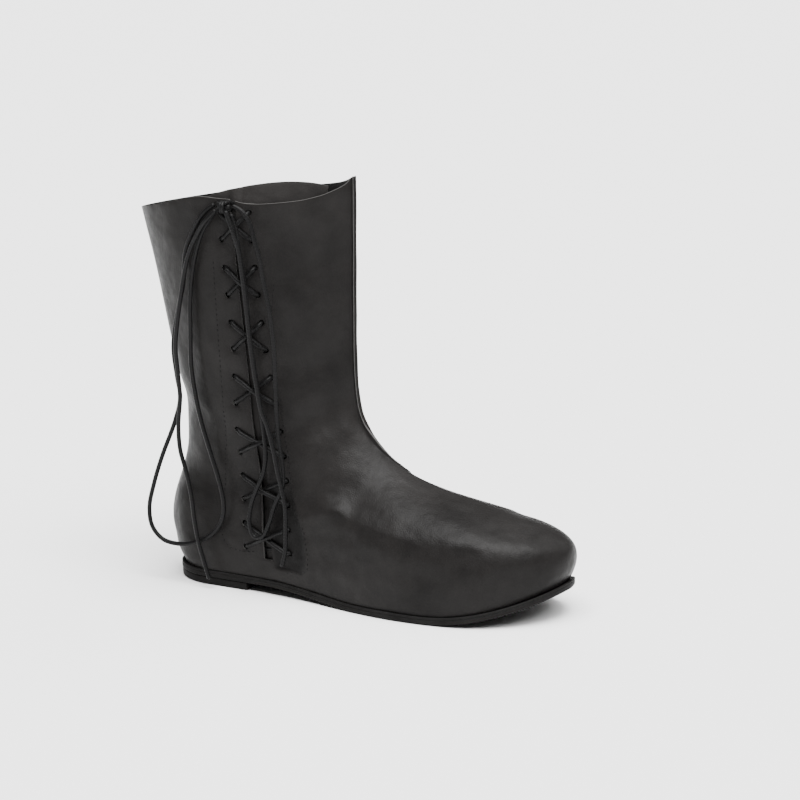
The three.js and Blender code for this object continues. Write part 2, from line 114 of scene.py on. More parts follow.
# The lacing slit and its holes
SLIT_TOP = 62.5
SLIT_FOOT = 84
SLIT_END_HEIGHT = 24
SLIT_TOP_WIDTH = 3
SLIT_FOOT_WIDTH = 7
HOLE_ROWS = 14
HOLE_RADIUS = 2
FIRST_HOLE_DROP = 10
SHAFT_HOLE_SPACING = 18.3
FOOT_HOLE_SPACING = 16.2
SHAFT_HOLE_ROWS = 9
SHAFT_HOLE_OFFSET = 9.5
FOOT_HOLE_OFFSET = 17.5
HOLE_SPREAD_HEIGHT = 197
LACE_RADIUS = 1.5
# How far a cord's cut end bulges, as a share of its radius
TIP_SHARE = 0.35

# How deep the lace pulls the leather in at a hole, and how far that and the slit's wave reach
LACE_PULL = 0.35
PULL_REACH = 3.4
WAVE_REACH = 6
# Plain leather kept round a hole, and how far its edge is pressed in
HOLE_MARGIN = 1.4
HOLE_SINK = 0.25
# How far inside the leather a hole's direction is aimed at
HOLE_DEPTH = 5

# The tongue
TONGUE_WALL = 1.4
TONGUE_HEIGHT = 22
TONGUE_FOOT = (54, 106)
TONGUE_TOP = (28, 117)
TONGUE_RISE = 8
TONGUE_DROP = 3
TONGUE_FOLLOW = 4
TONGUE_GAP = 0.9
TONGUE_LEAN = 0.3

# Half widths of the sole at even stations, as shares of the ball width
OUTLINE = {
    "outer": [0.3, 0.315, 0.32, 0.335, 0.37, 0.43, 0.485, 0.505, 0.49, 0.45, 0.41],
    "inner": [0.3, 0.32, 0.32, 0.29, 0.27, 0.3, 0.38, 0.45, 0.475, 0.455, 0.42],
}

# Rings round the upper from the sole to the collar, one value for each ring
RINGS = {
    "front": [0.988, 1.004, 1.006, 0.965, 0.89, 0.79, 0.685, 0.602, 0.538, 0.49, 0.467]
    + [0.461] * 4,
    "front_rise": [0.0, 0.07, 0.185, 0.295, 0.388, 0.467, 0.527, 0.598, 0.697, 0.81, 0.94]
    + [1] * 4,
    "back": [0.01, -0.01, -0.022, -0.025, -0.016, -0.002, 0.01, 0.02, 0.026, 0.026, 0.016]
    + [-0.012, -0.034, -0.058, -0.091],
    "back_rise": [0.0, 0.08, 0.18, 0.28, 0.38, 0.465, 0.55, 0.64, 0.725, 0.81, 0.93]
    + [1] * 4,
    "shaft": [0] * 11 + [0.16, 0.42, 0.7, 1],
    "nose": [0.22, 0.22, 0.23, 0.26, 0.34, 0.42, 0.48] + [0.5] * 8,
    "girth": [0.965, 1.0, 1.0, 0.97, 0.93, 0.89, 0.86, 0.83] + [0.8] * 7,
}

# The collar's edge on the lacing side, as (share of the way from back to front, height over the
# straight line between the two)
COLLAR_EDGE = [
    (0, 0), (0.12, 0.6), (0.22, 1.8), (0.3, 2.6), (0.38, 3.5), (0.44, 3), (0.48, 1.4), (0.53, -0.6),
    (0.565, -1.6), (0.58, -3.4), (0.62, -5.9), (0.67, -7.6), (0.74, -8.7), (0.8, -9.3),
    (0.835, -9.4), (0.9, -8.2), (0.96, -5), (0.985, -2.4), (1, 0),
]

# Creases, folds and dents: the side, how wide each is, how far it lifts the leather, or
# sinks it where that is negative, and the line that it follows as (station, height)
FOLDS = [
    # Soft pulls from the lower lacing towards the vamp
    (OUTER, 5.5, 1.5, [(112, 57), (126, 62), (140, 66)]),
    (OUTER, 8, -1.7, [(112, 67), (126, 74), (144, 79), (158, 80)]),
    (OUTER, 5, -0.8, [(113, 45), (130, 48), (150, 49)]),
    (OUTER, 9, -0.6, [(112, 34), (140, 36), (172, 33)]),
    # The tongue's sewn edges, pressed through
    (OUTER, 2.6, 0.5, [(103, 64), (112, 46), (114, 24), (98, 18)]),
    (OUTER, 2, -0.4, [(52, 120), (48, 71), (49, 34), (56, 28)]),
    (OUTER, 3, 0.35, [(46, 110), (43, 71), (44, 36)]),
    # The bend over the instep
    (OUTER, 10, 1.0, [(110, 96), (124, 108), (134, 118)]),
    (OUTER, 9, -1.0, [(102, 112), (118, 124), (130, 134)]),
    (OUTER, 11, 0.7, [(104, 134), (118, 142), (128, 148)]),
    # Broad dents of the shaft
    (OUTER, 17, -1.3, [(96, 238), (108, 226), (120, 210)]),
    (OUTER, 15, 1.0, [(92, 205), (104, 192), (116, 176)]),
    (OUTER, 14, -0.9, [(100, 158), (112, 156), (124, 162)]),
    (OUTER, 14, -1.2, [(6, 225), (14, 190), (22, 160)]),
    (OUTER, 12, 0.8, [(34, 214), (38, 180), (40, 150)]),
    # The heel and the ankle
    (OUTER, 9, -1.2, [(10, 128), (22, 118), (34, 114)]),
    (OUTER, 10, 0.9, [(8, 108), (22, 96), (36, 92)]),
    (OUTER, 6, -0.6, [(2, 30), (14, 23), (32, 21)]),
    (OUTER, 4, 0.35, [(0, 20), (10, 16), (26, 15)]),
    # Slack folds over the inner side of the instep
    (INNER, 6, 2.2, [(62, 88), (96, 98), (130, 112), (146, 116)]),
    (INNER, 6, -1.7, [(60, 78), (94, 86), (128, 98), (150, 104)]),
    (INNER, 6, -1.5, [(70, 108), (100, 118), (124, 128)]),
    (INNER, 7, 1.3, [(72, 120), (98, 130), (122, 140)]),
    (INNER, 8, 1.1, [(66, 66), (100, 70), (132, 82), (154, 90)]),
    (INNER, 9, -0.9, [(88, 52), (120, 56), (150, 66)]),
    (INNER, 9, -1.3, [(8, 120), (26, 112), (44, 110)]),
    (INNER, 9, 0.9, [(10, 98), (28, 90), (46, 92)]),
    (INNER, 15, -1.1, [(18, 222), (24, 188), (30, 160)]),
    (INNER, 16, 1.1, [(88, 236), (98, 206), (104, 176)]),
    (INNER, 13, -0.9, [(60, 206), (66, 176), (68, 148)]),
    (INNER, 12, 0.6, [(176, 62), (196, 52), (220, 44)]),
    # The vamp's round shoulders: drawn in along the turn, and filled out above it
    (OUTER, 10, -2.9, [(146, 68), (158, 65), (172, 62), (190, 59), (212, 54), (234, 49)]),
    (OUTER, 8, 1.5, [(160, 82), (174, 74), (192, 69), (212, 64), (230, 59)]),
    (INNER, 10, -2.6, [(146, 68), (158, 66), (172, 63), (190, 60), (212, 55), (234, 50)]),
    (INNER, 8, 1.3, [(160, 83), (174, 75), (192, 70), (212, 65), (230, 60)]),
    # Low dents of the vamp
    (OUTER, 12, -0.6, [(205, 40), (226, 33), (246, 24)]),
    (OUTER, 7, 0.35, [(190, 24), (220, 22), (250, 20)]),
    (INNER, 8, -0.4, [(196, 28), (224, 26), (252, 22)]),
]

# The front edge of the leather's sunk part over the tongue's foot, as (height, station)
FACING_EDGE = [(19, 112), (26, 114), (36, 113.5), (48, 111), (62, 104), (78, 100)]
FACING_DEPTH = 0.8
# Name of the point attribute that marks where shade is painted over the tongue's foot
PAINTED_SHADE_ATTRIBUTE = "pressed"
# How far outside the leather a piece looks for its place on it
SEARCH_HEIGHT = 2.5

# The stitch lines round the tongue's edge on the outer face, as (station, height)
TONGUE_STITCHES = [
    [(50, 226), (51, 180), (52, 140), (52, 110), (48, 71), (49, 33), (56, 28), (72, 28)],
    [(88, 212), (86, 180), (89, 145), (96, 100), (103, 64), (113, 44), (115, 22), (96, 17)],
]

# The bow's cords as they hang from the knot, in the same places as their solids
KNOT = {"at": (61, -46.3, 262), "size": (6.5, 4.6, 4.5)}
LOOP_REAR = [
    (53.8, -47, 263.4), (46, -48, 257), (37, -47, 244), (31, -46, 231), (28, -45, 209),
    (22, -43, 189), (17, -41, 165), (18, -39, 145), (19, -37, 130), (14, -36, 113), (3, -36, 87),
    (-4, -36, 67), (-8, -36, 50), (-6, -36, 37), (2, -36, 29), (13, -36, 27), (26, -36, 29),
    (40, -36, 36), (49, -36, 47), (51, -36, 59), (48, -36, 74), (42, -36, 92), (36, -37, 112),
    (32, -38, 131), (30, -40, 153), (31, -42, 176), (34, -45, 209), (40, -47, 233),
    (46, -48.5, 246), (51, -49.3, 253), (54.6, -48.4, 258),
]
END_REAR = [
    (57.2, -51, 260.2), (51.5, -53, 254), (45, -52, 246), (36, -50.5, 230), (28, -49, 199),
    (22, -46.5, 166), (22, -44, 148), (22, -42, 131), (19, -40, 111), (20, -40, 95),
    (24, -40, 81), (28, -40, 64), (30, -40, 48), (33, -40, 32), (37, -40, 19), (41, -40, 7),
]
LOOP_FRONT = [
    (68.2, -47, 263.4), (75, -47, 260), (80, -46, 252), (83, -46, 242), (86, -45, 230),
    (88, -44, 216), (91, -43, 200), (93, -42, 183), (94, -41, 166), (94, -39.5, 136),
    (95, -38.5, 110), (98, -38.5, 90), (98, -39, 77), (92, -39, 64), (88, -40, 51),
    (83, -40.5, 42), (77, -40.5, 41), (73, -40, 50), (74, -39, 62), (78, -39, 73),
    (83, -38.5, 84), (85, -38, 96), (84, -38, 110), (81, -39, 136), (78, -40, 158),
    (76, -42, 181), (74, -43, 208), (71, -44.5, 232), (70, -47, 248), (67.4, -48.4, 258),
]
END_FRONT = [
    (64.8, -51, 260.2), (70, -51.5, 248), (73, -49.6, 236), (75, -48.5, 219), (77, -47, 196),
    (79, -46, 172), (82, -44.5, 147), (85, -43.5, 129), (89, -42.5, 118), (93, -42.5, 104),
    (96, -42.5, 90), (99, -42.5, 78), (102, -43, 66), (103, -44, 50), (103, -45, 36),
    (101, -46, 25),
]

# The photo's view: how far the camera stands off, its turn round the boot and its height
VIEW_DISTANCE = 1600
VIEW_TURN = math.radians(29.92)
VIEW_STATION = 60
VIEW_HEIGHT = 480
AIM_TURN = math.radians(26.54)
AIM_DROP = math.radians(12.54)
VIEW_LENS = 108.67


def mix(a, b, t):
    return a + (b - a) * t


def clamp01(t):
    return np.clip(t, 0, 1)


def smooth(t):
    return clamp01(t) ** 2 * (3 - 2 * clamp01(t))


def curve(column, t):
    """A column of a table as a smooth curve through even rows, with t from 0 to 1."""
    rows = np.asarray(column, float)
    ends = [2 * rows[0] - rows[1]], [2 * rows[-1] - rows[-2]]
    padded = np.concatenate([ends[0], rows, ends[1]])
    place = clamp01(np.asarray(t, float)) * (len(rows) - 1)
    i = np.minimum(np.floor(place).astype(int), len(rows) - 2)
    u = place - i
    before, a, b, after = (padded[i + k] for k in range(4))
    low = (1 - u) ** 3 * before + (3 * u**3 - 6 * u**2 + 4) * a
    high = (-3 * u**3 + 3 * u**2 + 3 * u + 1) * b + u**3 * after
    return (low + high) / 6


def sole_bottom(station):
    """Height of the sole: flat over the heel, down to the floor at the ball, up at the toe."""
    share = station / SOLE_LENGTH
    start = ARCH_START / SOLE_LENGTH
    arch = HEEL_HEIGHT * (1 - smooth((share - start) / (ARCH_END - start)))
    return arch + TOE_SPRING * np.maximum((share - SPRING_START) / (1 - SPRING_START), 0) ** 2


def sole_top(station):
    return sole_bottom(station) + SOLE_THICKNESS


def sole_middle(station):
    share = station / SOLE_LENGTH
    return TOE_SWING * np.maximum((share - SWING_START) / (1 - SWING_START), 0) ** 2


def round_tail(distance):
    return np.sqrt(1 - (1 - clamp01(distance)) ** 2)


def round_nose(distance):
    return np.sqrt(1 - (1 - clamp01(distance)) ** 2.2)


def side_width(station, side):
    widths = [curve(OUTLINE[name], station / SOLE_LENGTH) for name in ("outer", "inner")]
    return np.where(np.asarray(side) < 0, widths[0], widths[1]) * BALL_WIDTH


def outline_edge(station, side, inset):
    tail = round_tail((station - inset) / (TAIL_ROUND * SOLE_LENGTH))
    nose = round_nose((SOLE_LENGTH - inset - station) / (NOSE_ROUND * SOLE_LENGTH))
    return sole_middle(station) + side * (side_width(station, side) - inset) * tail * nose


def ring_at(rise):
    """The front, back and heights of a ring of the upper, with rise from 0 at the sole to 1."""
    ring = {name: curve(column, rise) for name, column in RINGS.items()}
    front = ring["front"] * SOLE_LENGTH
    back = ring["back"] * SOLE_LENGTH

    def height(station, climb, collar):
        foot = mix(sole_top(station) + CLEARANCE, INSTEP_HEIGHT, climb)
        return mix(foot, collar, ring["shaft"])

    return {
        "rise": rise,
        "front": front,
        "back": back,
        "shaft": ring["shaft"],
        "front_height": height(front, ring["front_rise"], COLLAR_FRONT),
        "back_height": height(back, ring["back_rise"], COLLAR_BACK),
        "nose": ring["nose"] * SOLE_LENGTH,
        "girth": ring["girth"],
    }


def ring_height(ring, share, side):
    station = mix(ring["back"], ring["front"], share)
    straight = mix(sole_top(ring["back"]), sole_top(ring["front"]), share)
    on_sole = (1 - smooth(ring["rise"] / 0.22)) * (sole_top(station) - straight)
    ahead = clamp01((share - LACED_SHARE) / (1 - LACED_SHARE))
    inner = -INNER_DIP * COLLAR_DIP * smooth(ahead / 0.2) * (1 - ahead**7)
    shares, heights = zip(*COLLAR_EDGE)
    laced = sum(np.interp(share + step, shares, heights) for step in (-0.012, 0, 0.012)) / 3
    laced *= 1 - smooth((share - 0.98) / 0.02)
    edge = ring["shaft"] ** 6 * np.where(np.asarray(side) < 0, laced, inner)
    return mix(ring["back_height"], ring["front_height"], share) + on_sole + edge


def ring_point(ring, share, side):
    """Points of the upper's outer face on a ring, at shares of the way from back to front."""
    station = mix(ring["back"], ring["front"], share)
    height = ring_height(ring, share, side)
    tail = round_tail((station - ring["back"]) / (TAIL_ROUND * SOLE_LENGTH))
    nose = round_nose((ring["front"] - station) / ring["nose"])
    foot = side_width(station, side) * ring["girth"] * tail * nose
    wedge = 1 - clamp01((share - SHAFT_WIDEST) / (1 - SHAFT_WIDEST)) ** 1.7
    flare = smooth((height - FLARE_HEIGHT) / (COLLAR_FRONT - FLARE_HEIGHT))
    shaft = mix(ANKLE_WIDTH, COLLAR_WIDTH, flare) / 2 * round_tail(share / SHAFT_WIDEST) * wedge
    across = mix(foot, shaft, smooth((height - FOOT_HEIGHT) / (ANKLE_HEIGHT - FOOT_HEIGHT)))
    return np.stack([station, sole_middle(station) + side * across, height], axis=-1)


def on_side(station, height, side=OUTER):
    """Points of the outer face at given stations and heights."""
    station, height = np.broadcast_arrays(np.asarray(station, float), np.asarray(height, float))
    low, high = np.zeros(station.shape), np.ones(station.shape)

    def at(rise):
        ring = ring_at(rise)
        share = clamp01((station - ring["back"]) / (ring["front"] - ring["back"]))
        return ring_point(ring, share, side)

    for _ in range(24):
        middle = (low + high) / 2
        below = at(middle)[..., 2] < height
        low, high = np.where(below, middle, low), np.where(below, high, middle)
    return at(low)


def unit(vectors):
    return vectors / np.maximum(np.linalg.norm(vectors, axis=-1, keepdims=True), 1e-9)


def standing_off(station, height, distance, side=OUTER):
    """Points at a distance out of the upper's outer face."""
    station, height = np.asarray(station, float), np.asarray(height, float)
    along = on_side(station + 2, height, side) - on_side(station - 2, height, side)
    up = on_side(station, height + 2, side) - on_side(station, height - 2, side)
    out = unit(np.cross(along, up)) * -side
    return on_side(station, height, side) + out * np.asarray(distance)[..., None]


def slit_share(height):
    return clamp01((height - SLIT_END_HEIGHT) / (COLLAR_FRONT - SLIT_END_HEIGHT))


def slit_station(height):
    return mix(SLIT_FOOT, SLIT_TOP, slit_share(height))


def slit_half_width(height):
    return mix(SLIT_FOOT_WIDTH, SLIT_TOP_WIDTH, slit_share(height)) / 2


def hole_place(row, edge):
    """Station and height of a hole, with edge -1 behind the slit and 1 ahead of it."""
    first = mix(COLLAR_BACK, COLLAR_FRONT, LACED_SHARE) - FIRST_HOLE_DROP
    in_shaft = min(row, SHAFT_HOLE_ROWS - 1)
    height = first - in_shaft * SHAFT_HOLE_SPACING - (row - in_shaft) * FOOT_HOLE_SPACING
    low = smooth((HOLE_SPREAD_HEIGHT - height) / INSTEP_HEIGHT)
    return slit_station(height) + edge * mix(SHAFT_HOLE_OFFSET, FOOT_HOLE_OFFSET, low), height


def line_distance(station, height, line):
    """Distance from points to a line through (station, height) pairs."""
    nearest = np.full(np.shape(station), 1e9)
    for (x0, z0), (x1, z1) in zip(line, line[1:]):
        dx, dz = x1 - x0, z1 - z0
        t = clamp01(((station - x0) * dx + (height - z0) * dz) / (dx * dx + dz * dz))
        nearest = np.minimum(nearest, np.hypot(station - x0 - t * dx, height - z0 - t * dz))
    return nearest


def facing(station, height):
    """Where the tongue's foot is sewn behind the leather ahead of the slit, from 0 to 1: the leather
    is sunk there, and shade is painted there as well.
    """
    heights, stations = zip(*FACING_EDGE)
    ahead = smooth((np.interp(height, heights, stations) - station) / 2 + 0.5)
    behind = smooth((station - slit_station(height) - 2) / 6)
    low, high = heights[0], heights[-1]
    return ahead * behind * smooth((height - low) / 2 + 0.5) * smooth((high - height) / 14)


def relief(station, height, side, depth):
    """How far folds, dents and the pull of the lace lift the leather at a point."""
    lift = np.where(side == OUTER, -FACING_DEPTH * facing(station, height), 0.0)
    for fold_side, width, fold_lift, line in FOLDS:
        near = np.exp(-((line_distance(station, height, line) / width) ** 2))
        lift += np.where(side == fold_side, near * fold_lift * depth, 0)
    for row in range(HOLE_ROWS):
        for edge in (-1, 1):
            hole = hole_place(row, edge)
            near = np.hypot(station - hole[0], height - hole[1])
            lift -= np.where(side == OUTER, LACE_PULL * np.exp(-((near / PULL_REACH) ** 2)), 0)
    first, last = hole_place(0, 1)[1], hole_place(HOLE_ROWS - 1, 1)[1]
    pair = 2 * (first - last) / (HOLE_ROWS - 1)
    edge_near = np.exp(-(((station - slit_station(height)) / WAVE_REACH) ** 2))
    wave = LACE_PULL * np.cos(2 * math.pi * (first - height) / pair + math.pi * 1.5)
    return lift + np.where((side == OUTER) & (height > SLIT_END_HEIGHT), wave * edge_near, 0)


def to_frame(points):
    """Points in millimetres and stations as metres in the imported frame."""
    return (np.asarray(points, float) - (ORIGIN_STATION, 0, 0)) * METRES


def catmull_rom(points, steps):
    """A smooth curve through points, sampled so many times between each two."""
    p = np.asarray(points, float)
    p = np.vstack([2 * p[0] - p[1], p, 2 * p[-1] - p[-2]])
    out = []
    for p0, p1, p2, p3 in zip(p, p[1:], p[2:], p[3:]):
        d0, d1, d2 = (np.linalg.norm(b - a) ** 0.5 for a, b in ((p0, p1), (p1, p2), (p2, p3)))
        m1 = ((p1 - p0) / d0 - (p2 - p0) / (d0 + d1) + (p2 - p1) / d1) * d1
        m2 = ((p2 - p1) / d1 - (p3 - p1) / (d1 + d2) + (p3 - p2) / d2) * d1
        for t in np.arange(steps) / steps:
            a = (2 * t**3 - 3 * t**2 + 1) * p1 + (t**3 - 2 * t**2 + t) * m1
            out.append(a + (-2 * t**3 + 3 * t**2) * p2 + (t**3 - t**2) * m2)
    return np.array(out + [p[-2]])


def run_along(points):
    """How far along a line each of its points lies."""
    return np.concatenate([[0], np.cumsum(np.linalg.norm(np.diff(points, axis=0), axis=1))])


def at_runs(stops, run, points):
    """Points at distances along a line."""
    columns = range(points.shape[1])
    return np.stack([np.interp(stops, run, points[:, k]) for k in columns], axis=-1)


def add_mesh(name, points, faces, materials, uvs=None, indices=None):
    """A new object at the origin from points in metres, with its materials."""
    mesh = bpy.data.meshes.new(name)
    mesh.from_pydata([tuple(p) for p in points], [], [tuple(f) for f in faces])
    for material in materials:
        mesh.materials.append(material)
    if indices is not None:
        mesh.polygons.foreach_set("material_index", np.asarray(indices, np.int32))
    if uvs is not None:
        layer = mesh.uv_layers.new(name="UVMap")
        corners = np.array([loop.vertex_index for loop in mesh.loops])
        layer.data.foreach_set("uv", np.asarray(uvs, np.float32)[corners].ravel())
    mesh.polygons.foreach_set("use_smooth", np.ones(len(mesh.polygons), bool))
    mesh.update()
    piece = bpy.data.objects.new(name, mesh)
    bpy.context.scene.collection.objects.link(piece)
    return piece


def pick(piece):
    """Leaves only this piece selected and active."""
    bpy.ops.object.select_all(action="DESELECT")
    piece.select_set(True)
    bpy.context.view_layer.objects.active = piece


def apply_modifiers(piece):
    pick(piece)
    for modifier in list(piece.modifiers):
        bpy.ops.object.modifier_apply(modifier=modifier.name)


def give_wall(piece, thickness, edge_width):
    """Turns a sheet into leather, with its lining, its cut edge and slightly rounded corners."""
    wall = piece.modifiers.new("wall", "SOLIDIFY")
    wall.thickness = thickness
    wall.offset = -1
    wall.material_offset = 2
    wall.material_offset_rim = 1
    edges = piece.modifiers.new("edges", "BEVEL")
    edges.width = edge_width
    edges.segments = 2
    edges.limit_method = "ANGLE"
    edges.angle_limit = math.radians(55)
    apply_modifiers(piece)


def face_outwards(piece):
    pick(piece)
    bpy.ops.object.mode_set(mode="EDIT")
    bpy.ops.mesh.select_all(action="SELECT")
    bpy.ops.mesh.normals_make_consistent(inside=False)
    bpy.ops.object.mode_set(mode="OBJECT")


def wear(piece, slot, *nodes):
    """The piece rides on the boot and stands for these nodes; its slot is not used."""
    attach(piece, "root")
    if nodes:
        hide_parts(*nodes)


def tube(name, paths, radius, sides, materials):
    """Round closed cords along paths in metres, with a UV map that runs along them in metres."""
    points, faces, uvs = [], [], []
    for path in paths:
        path = np.asarray(path, float)
        tangents = unit(np.gradient(path, axis=0))
        normal = unit(np.cross(tangents[0], (0.3, 1.0, 0.2)))
        start, run = len(points), 0.0
        for i, (centre, tangent) in enumerate(zip(path, tangents)):
            normal = unit(normal - tangent * np.dot(normal, tangent))
            side = np.cross(tangent, normal)
            run += float(np.linalg.norm(centre - path[i - 1])) if i else 0.0
            for k in range(sides):
                turn = 2 * math.pi * k / sides
                points.append(centre + radius * (math.cos(turn) * normal + math.sin(turn) * side))
                uvs.append((k / sides, run))
        rows = len(path)
        for i in range(rows - 1):
            for k in range(sides):
                a, b = start + i * sides + k, start + i * sides + (k + 1) % sides
                faces.append((a, b, b + sides, a + sides))
        for row, way in ((0, -1), (rows - 1, 1)):
            ring = [start + row * sides + k for k in range(sides)]
            tip = len(points)
            points.append(path[row] + tangents[row] * way * radius * TIP_SHARE)
            uvs.append((0.5, 0.0 if row == 0 else run))
            pairs = zip(ring, ring[1:] + ring[:1])
            faces += [(b, a, tip) if way < 0 else (a, b, tip) for a, b in pairs]
    return add_mesh(name, points, faces, materials, uvs)


def node(tree, kind, values=None, **settings):
    """A node of a material with its settings and the values of its inputs."""
    made = tree.nodes.new(kind)
    for name, value in settings.items():
        setattr(made, name, value)
    for name, value in (values or {}).items():
        made.inputs[name].default_value = value
    return made


def shaded(name, colour, roughness, **sockets):
    """A new material with its Principled shader and the object's coordinates."""
    material = bpy.data.materials.new(name)
    material.use_nodes = True
    tree = material.node_tree
    shader = tree.nodes["Principled BSDF"]
    shader.inputs["Base Color"].default_value = (*colour, 1)
    shader.inputs["Roughness"].default_value = roughness
    for socket, value in sockets.items():
        shader.inputs[socket.replace("_", " ")].default_value = value
    coordinates = node(tree, "ShaderNodeTexCoord")
    return material, tree, shader, coordinates


def varied(tree, source, low, high, colours):
    """Runs a texture's value through a ramp between two colours."""
    ramp = node(tree, "ShaderNodeValToRGB")
    ramp.color_ramp.elements[0].position = low
    ramp.color_ramp.elements[1].position = high
    for element, colour in zip(ramp.color_ramp.elements, colours):
        element.color = (*colour, 1)
    tree.links.new(source, ramp.inputs["Fac"])
    return ramp.outputs["Color"]


def ranged(tree, source, low, high):
    """Maps a texture's value from 0.3 to 0.7 to a range."""
    spread = node(tree, "ShaderNodeMapRange", {"From Min": 0.3, "From Max": 0.7})
    spread.inputs["To Min"].default_value = low
    spread.inputs["To Max"].default_value = high
    tree.links.new(source, spread.inputs["Value"])
    return spread.outputs["Result"]


def noise(tree, place, scale, detail, roughness=0.5):
    """A noise texture's value, read at a place."""
    values = {"Scale": scale, "Detail": detail, "Roughness": roughness}
    made = node(tree, "ShaderNodeTexNoise", values)
    tree.links.new(place, made.inputs["Vector"])
    return made.outputs["Fac"]


def bumped(tree, source, strength, distance, under=None):
    """A surface raised by a texture's value, over another such surface where one is given."""
    bump = node(tree, "ShaderNodeBump", {"Strength": strength, "Distance": distance})
    tree.links.new(source, bump.inputs["Height"])
    if under is not None:
        tree.links.new(under, bump.inputs["Normal"])
    return bump.outputs["Normal"]


def finish(tree, shader, **sources):
    """Leads values to the shader's sockets."""
    for socket, source in sources.items():
        tree.links.new(source, shader.inputs[socket.replace("_", " ")])


def shade(colour, share):
    return tuple(min(channel * share, 1) for channel in colour)


def leather_material(name, colour, roughness, grain):
    """Smooth grained leather: pores, a pebble grain, slow changes of tone and soft slack, with painted
    shade where the pressed attribute marks the tongue's foot.
    """
    material, tree, shader, coordinates = shaded(name, colour, roughness, Specular_IOR_Level=0.07)
    place = coordinates.outputs["Object"]
    tone = noise(tree, place, 21.0, 4.0, 0.6)
    pores = noise(tree, place, 2300.0, 3.0, 0.62)
    scuff = noise(tree, place, 260.0, 5.0, 0.66)
    slack = noise(tree, place, 34.0, 2.5, 0.45)
    pebble = node(tree, "ShaderNodeTexVoronoi", {"Scale": 1150.0}, feature="SMOOTH_F1")
    pebble.inputs["Smoothness"].default_value = 0.6
    tree.links.new(place, pebble.inputs["Vector"])
    base = varied(tree, tone, 0.35, 0.68, [shade(colour, 0.72), shade(colour, 1.4)])
    # Painted shade: the base colour darkens towards 0.45 of the leather's where the pressed attribute
    # is set
    pressed = node(tree, "ShaderNodeAttribute", attribute_name=PAINTED_SHADE_ATTRIBUTE)
    painted_shade = node(tree, "ShaderNodeMix", data_type="RGBA")
    painted_shade.inputs["B"].default_value = (*shade(colour, 0.45), 1)
    tree.links.new(pressed.outputs["Fac"], painted_shade.inputs["Factor"])
    tree.links.new(base, painted_shade.inputs["A"])
    rough = ranged(tree, scuff, roughness - 0.05, roughness + 0.07)
    surface = bumped(tree, pebble.outputs["Distance"], 0.55 * grain, 0.00016)
    surface = bumped(tree, pores, 0.35 * grain, 0.00008, surface)
    surface = bumped(tree, scuff, 0.2, 0.0006, surface)
    surface = bumped(tree, slack, 0.8, 0.0042, surface)
    base = painted_shade.outputs["Result"]
    finish(tree, shader, Base_Color=base, Roughness=rough, Normal=surface)
    return material


def fibre_material(name, colour, roughness, scale, strength):
    """Cut leather, lining and board: a matt surface of short fibres."""
    material, tree, shader, coordinates = shaded(
        name, colour, roughness, Specular_IOR_Level=0.12, Sheen_Weight=0.03, Sheen_Roughness=0.5
    )
    fibres = noise(tree, coordinates.outputs["Object"], scale, 6.0, 0.7)
    base = varied(tree, fibres, 0.34, 0.68, [shade(colour, 0.6), shade(colour, 1.35)])
    surface = bumped(tree, fibres, strength, 0.00025)
    finish(tree, shader, Base_Color=base, Normal=surface)
    return material


def rubber_material(name, colour):
    """Sole rubber: matt, with fine mould marks and dust in its pores."""
    material, tree, shader, coordinates = shaded(name, colour, 0.55, Specular_IOR_Level=0.04)
    dust = noise(tree, coordinates.outputs["Object"], 55.0, 6.0, 0.7)
    marks = noise(tree, coordinates.outputs["Object"], 1500.0, 3.0)
    base = varied(tree, dust, 0.4, 0.75, [shade(colour, 0.85), shade(colour, 1.5)])
    rough, surface = ranged(tree, dust, 0.45, 0.6), bumped(tree, marks, 0.4, 0.0001)
    finish(tree, shader, Base_Color=base, Roughness=rough, Normal=surface)
    return material


def cord_material(name, colour):
    """Waxed round cord, with a fine slanting lay that follows it through its UV map."""
    material, tree, shader, coordinates = shaded(
        name, colour, 0.45, Coat_Weight=0.02, Coat_Roughness=0.4, Specular_IOR_Level=0.1
    )
    stretched = node(tree, "ShaderNodeMapping", {"Scale": (2, 620, 1)})
    tree.links.new(coordinates.outputs["UV"], stretched.inputs["Vector"])
    lay = node(
        tree,
        "ShaderNodeTexWave",
        {"Scale": 0.5, "Distortion": 0.6, "Detail": 1.0, "Detail Scale": 1.5},
        wave_type="BANDS",
        bands_direction="DIAGONAL",
    )
    tree.links.new(stretched.outputs["Vector"], lay.inputs["Vector"])
    fuzz = noise(tree, coordinates.outputs["Object"], 3000.0, 3.0)
    colours = [shade(colour, 0.75), shade(colour, 1.3)]
    base = varied(tree, lay.outputs["Fac"], 0.2, 0.8, colours)
    surface = bumped(tree, lay.outputs["Fac"], 0.35, 0.00012)
    surface = bumped(tree, fuzz, 0.3, 0.00006, surface)
    finish(tree, shader, Base_Color=base, Normal=surface)
    return material


def material_of(name):
    """A finish by its name, made once from the colours of the settings."""
    found = bpy.data.materials.get(name)
    if found:
        return found
    colours = bpy.context.scene.boot_finish
    if name == "leather":
        return leather_material(name, colours.leather, 0.4, 1.0)
    # The tongue's leather is the upper's, with painted light: 1.35 times lighter for the light that
    # falls on the tongue
    if name == "tongue_leather_painted_light":
        return leather_material(name, shade(colours.leather, 1.35), 0.5, 0.8)
    if name == "raw_edge":
        return fibre_material(name, colours.raw_edge, 0.75, 1800.0, 0.4)
    if name == "lining":
        return fibre_material(name, colours.lining, 0.9, 900.0, 0.5)
    if name == "moulded_rubber":
        return rubber_material(name, colours.rubber)
    return cord_material(name, colours.cord)


def length_setting(name, description, default, least):
    return bpy.props.FloatProperty(
        name=name, description=description, default=default, min=least, unit="LENGTH"
    )


def colour_setting(name, description, default):
    return bpy.props.FloatVectorProperty(
        name=name, description=description, subtype="COLOR", size=3, default=default, min=0, max=1
    )


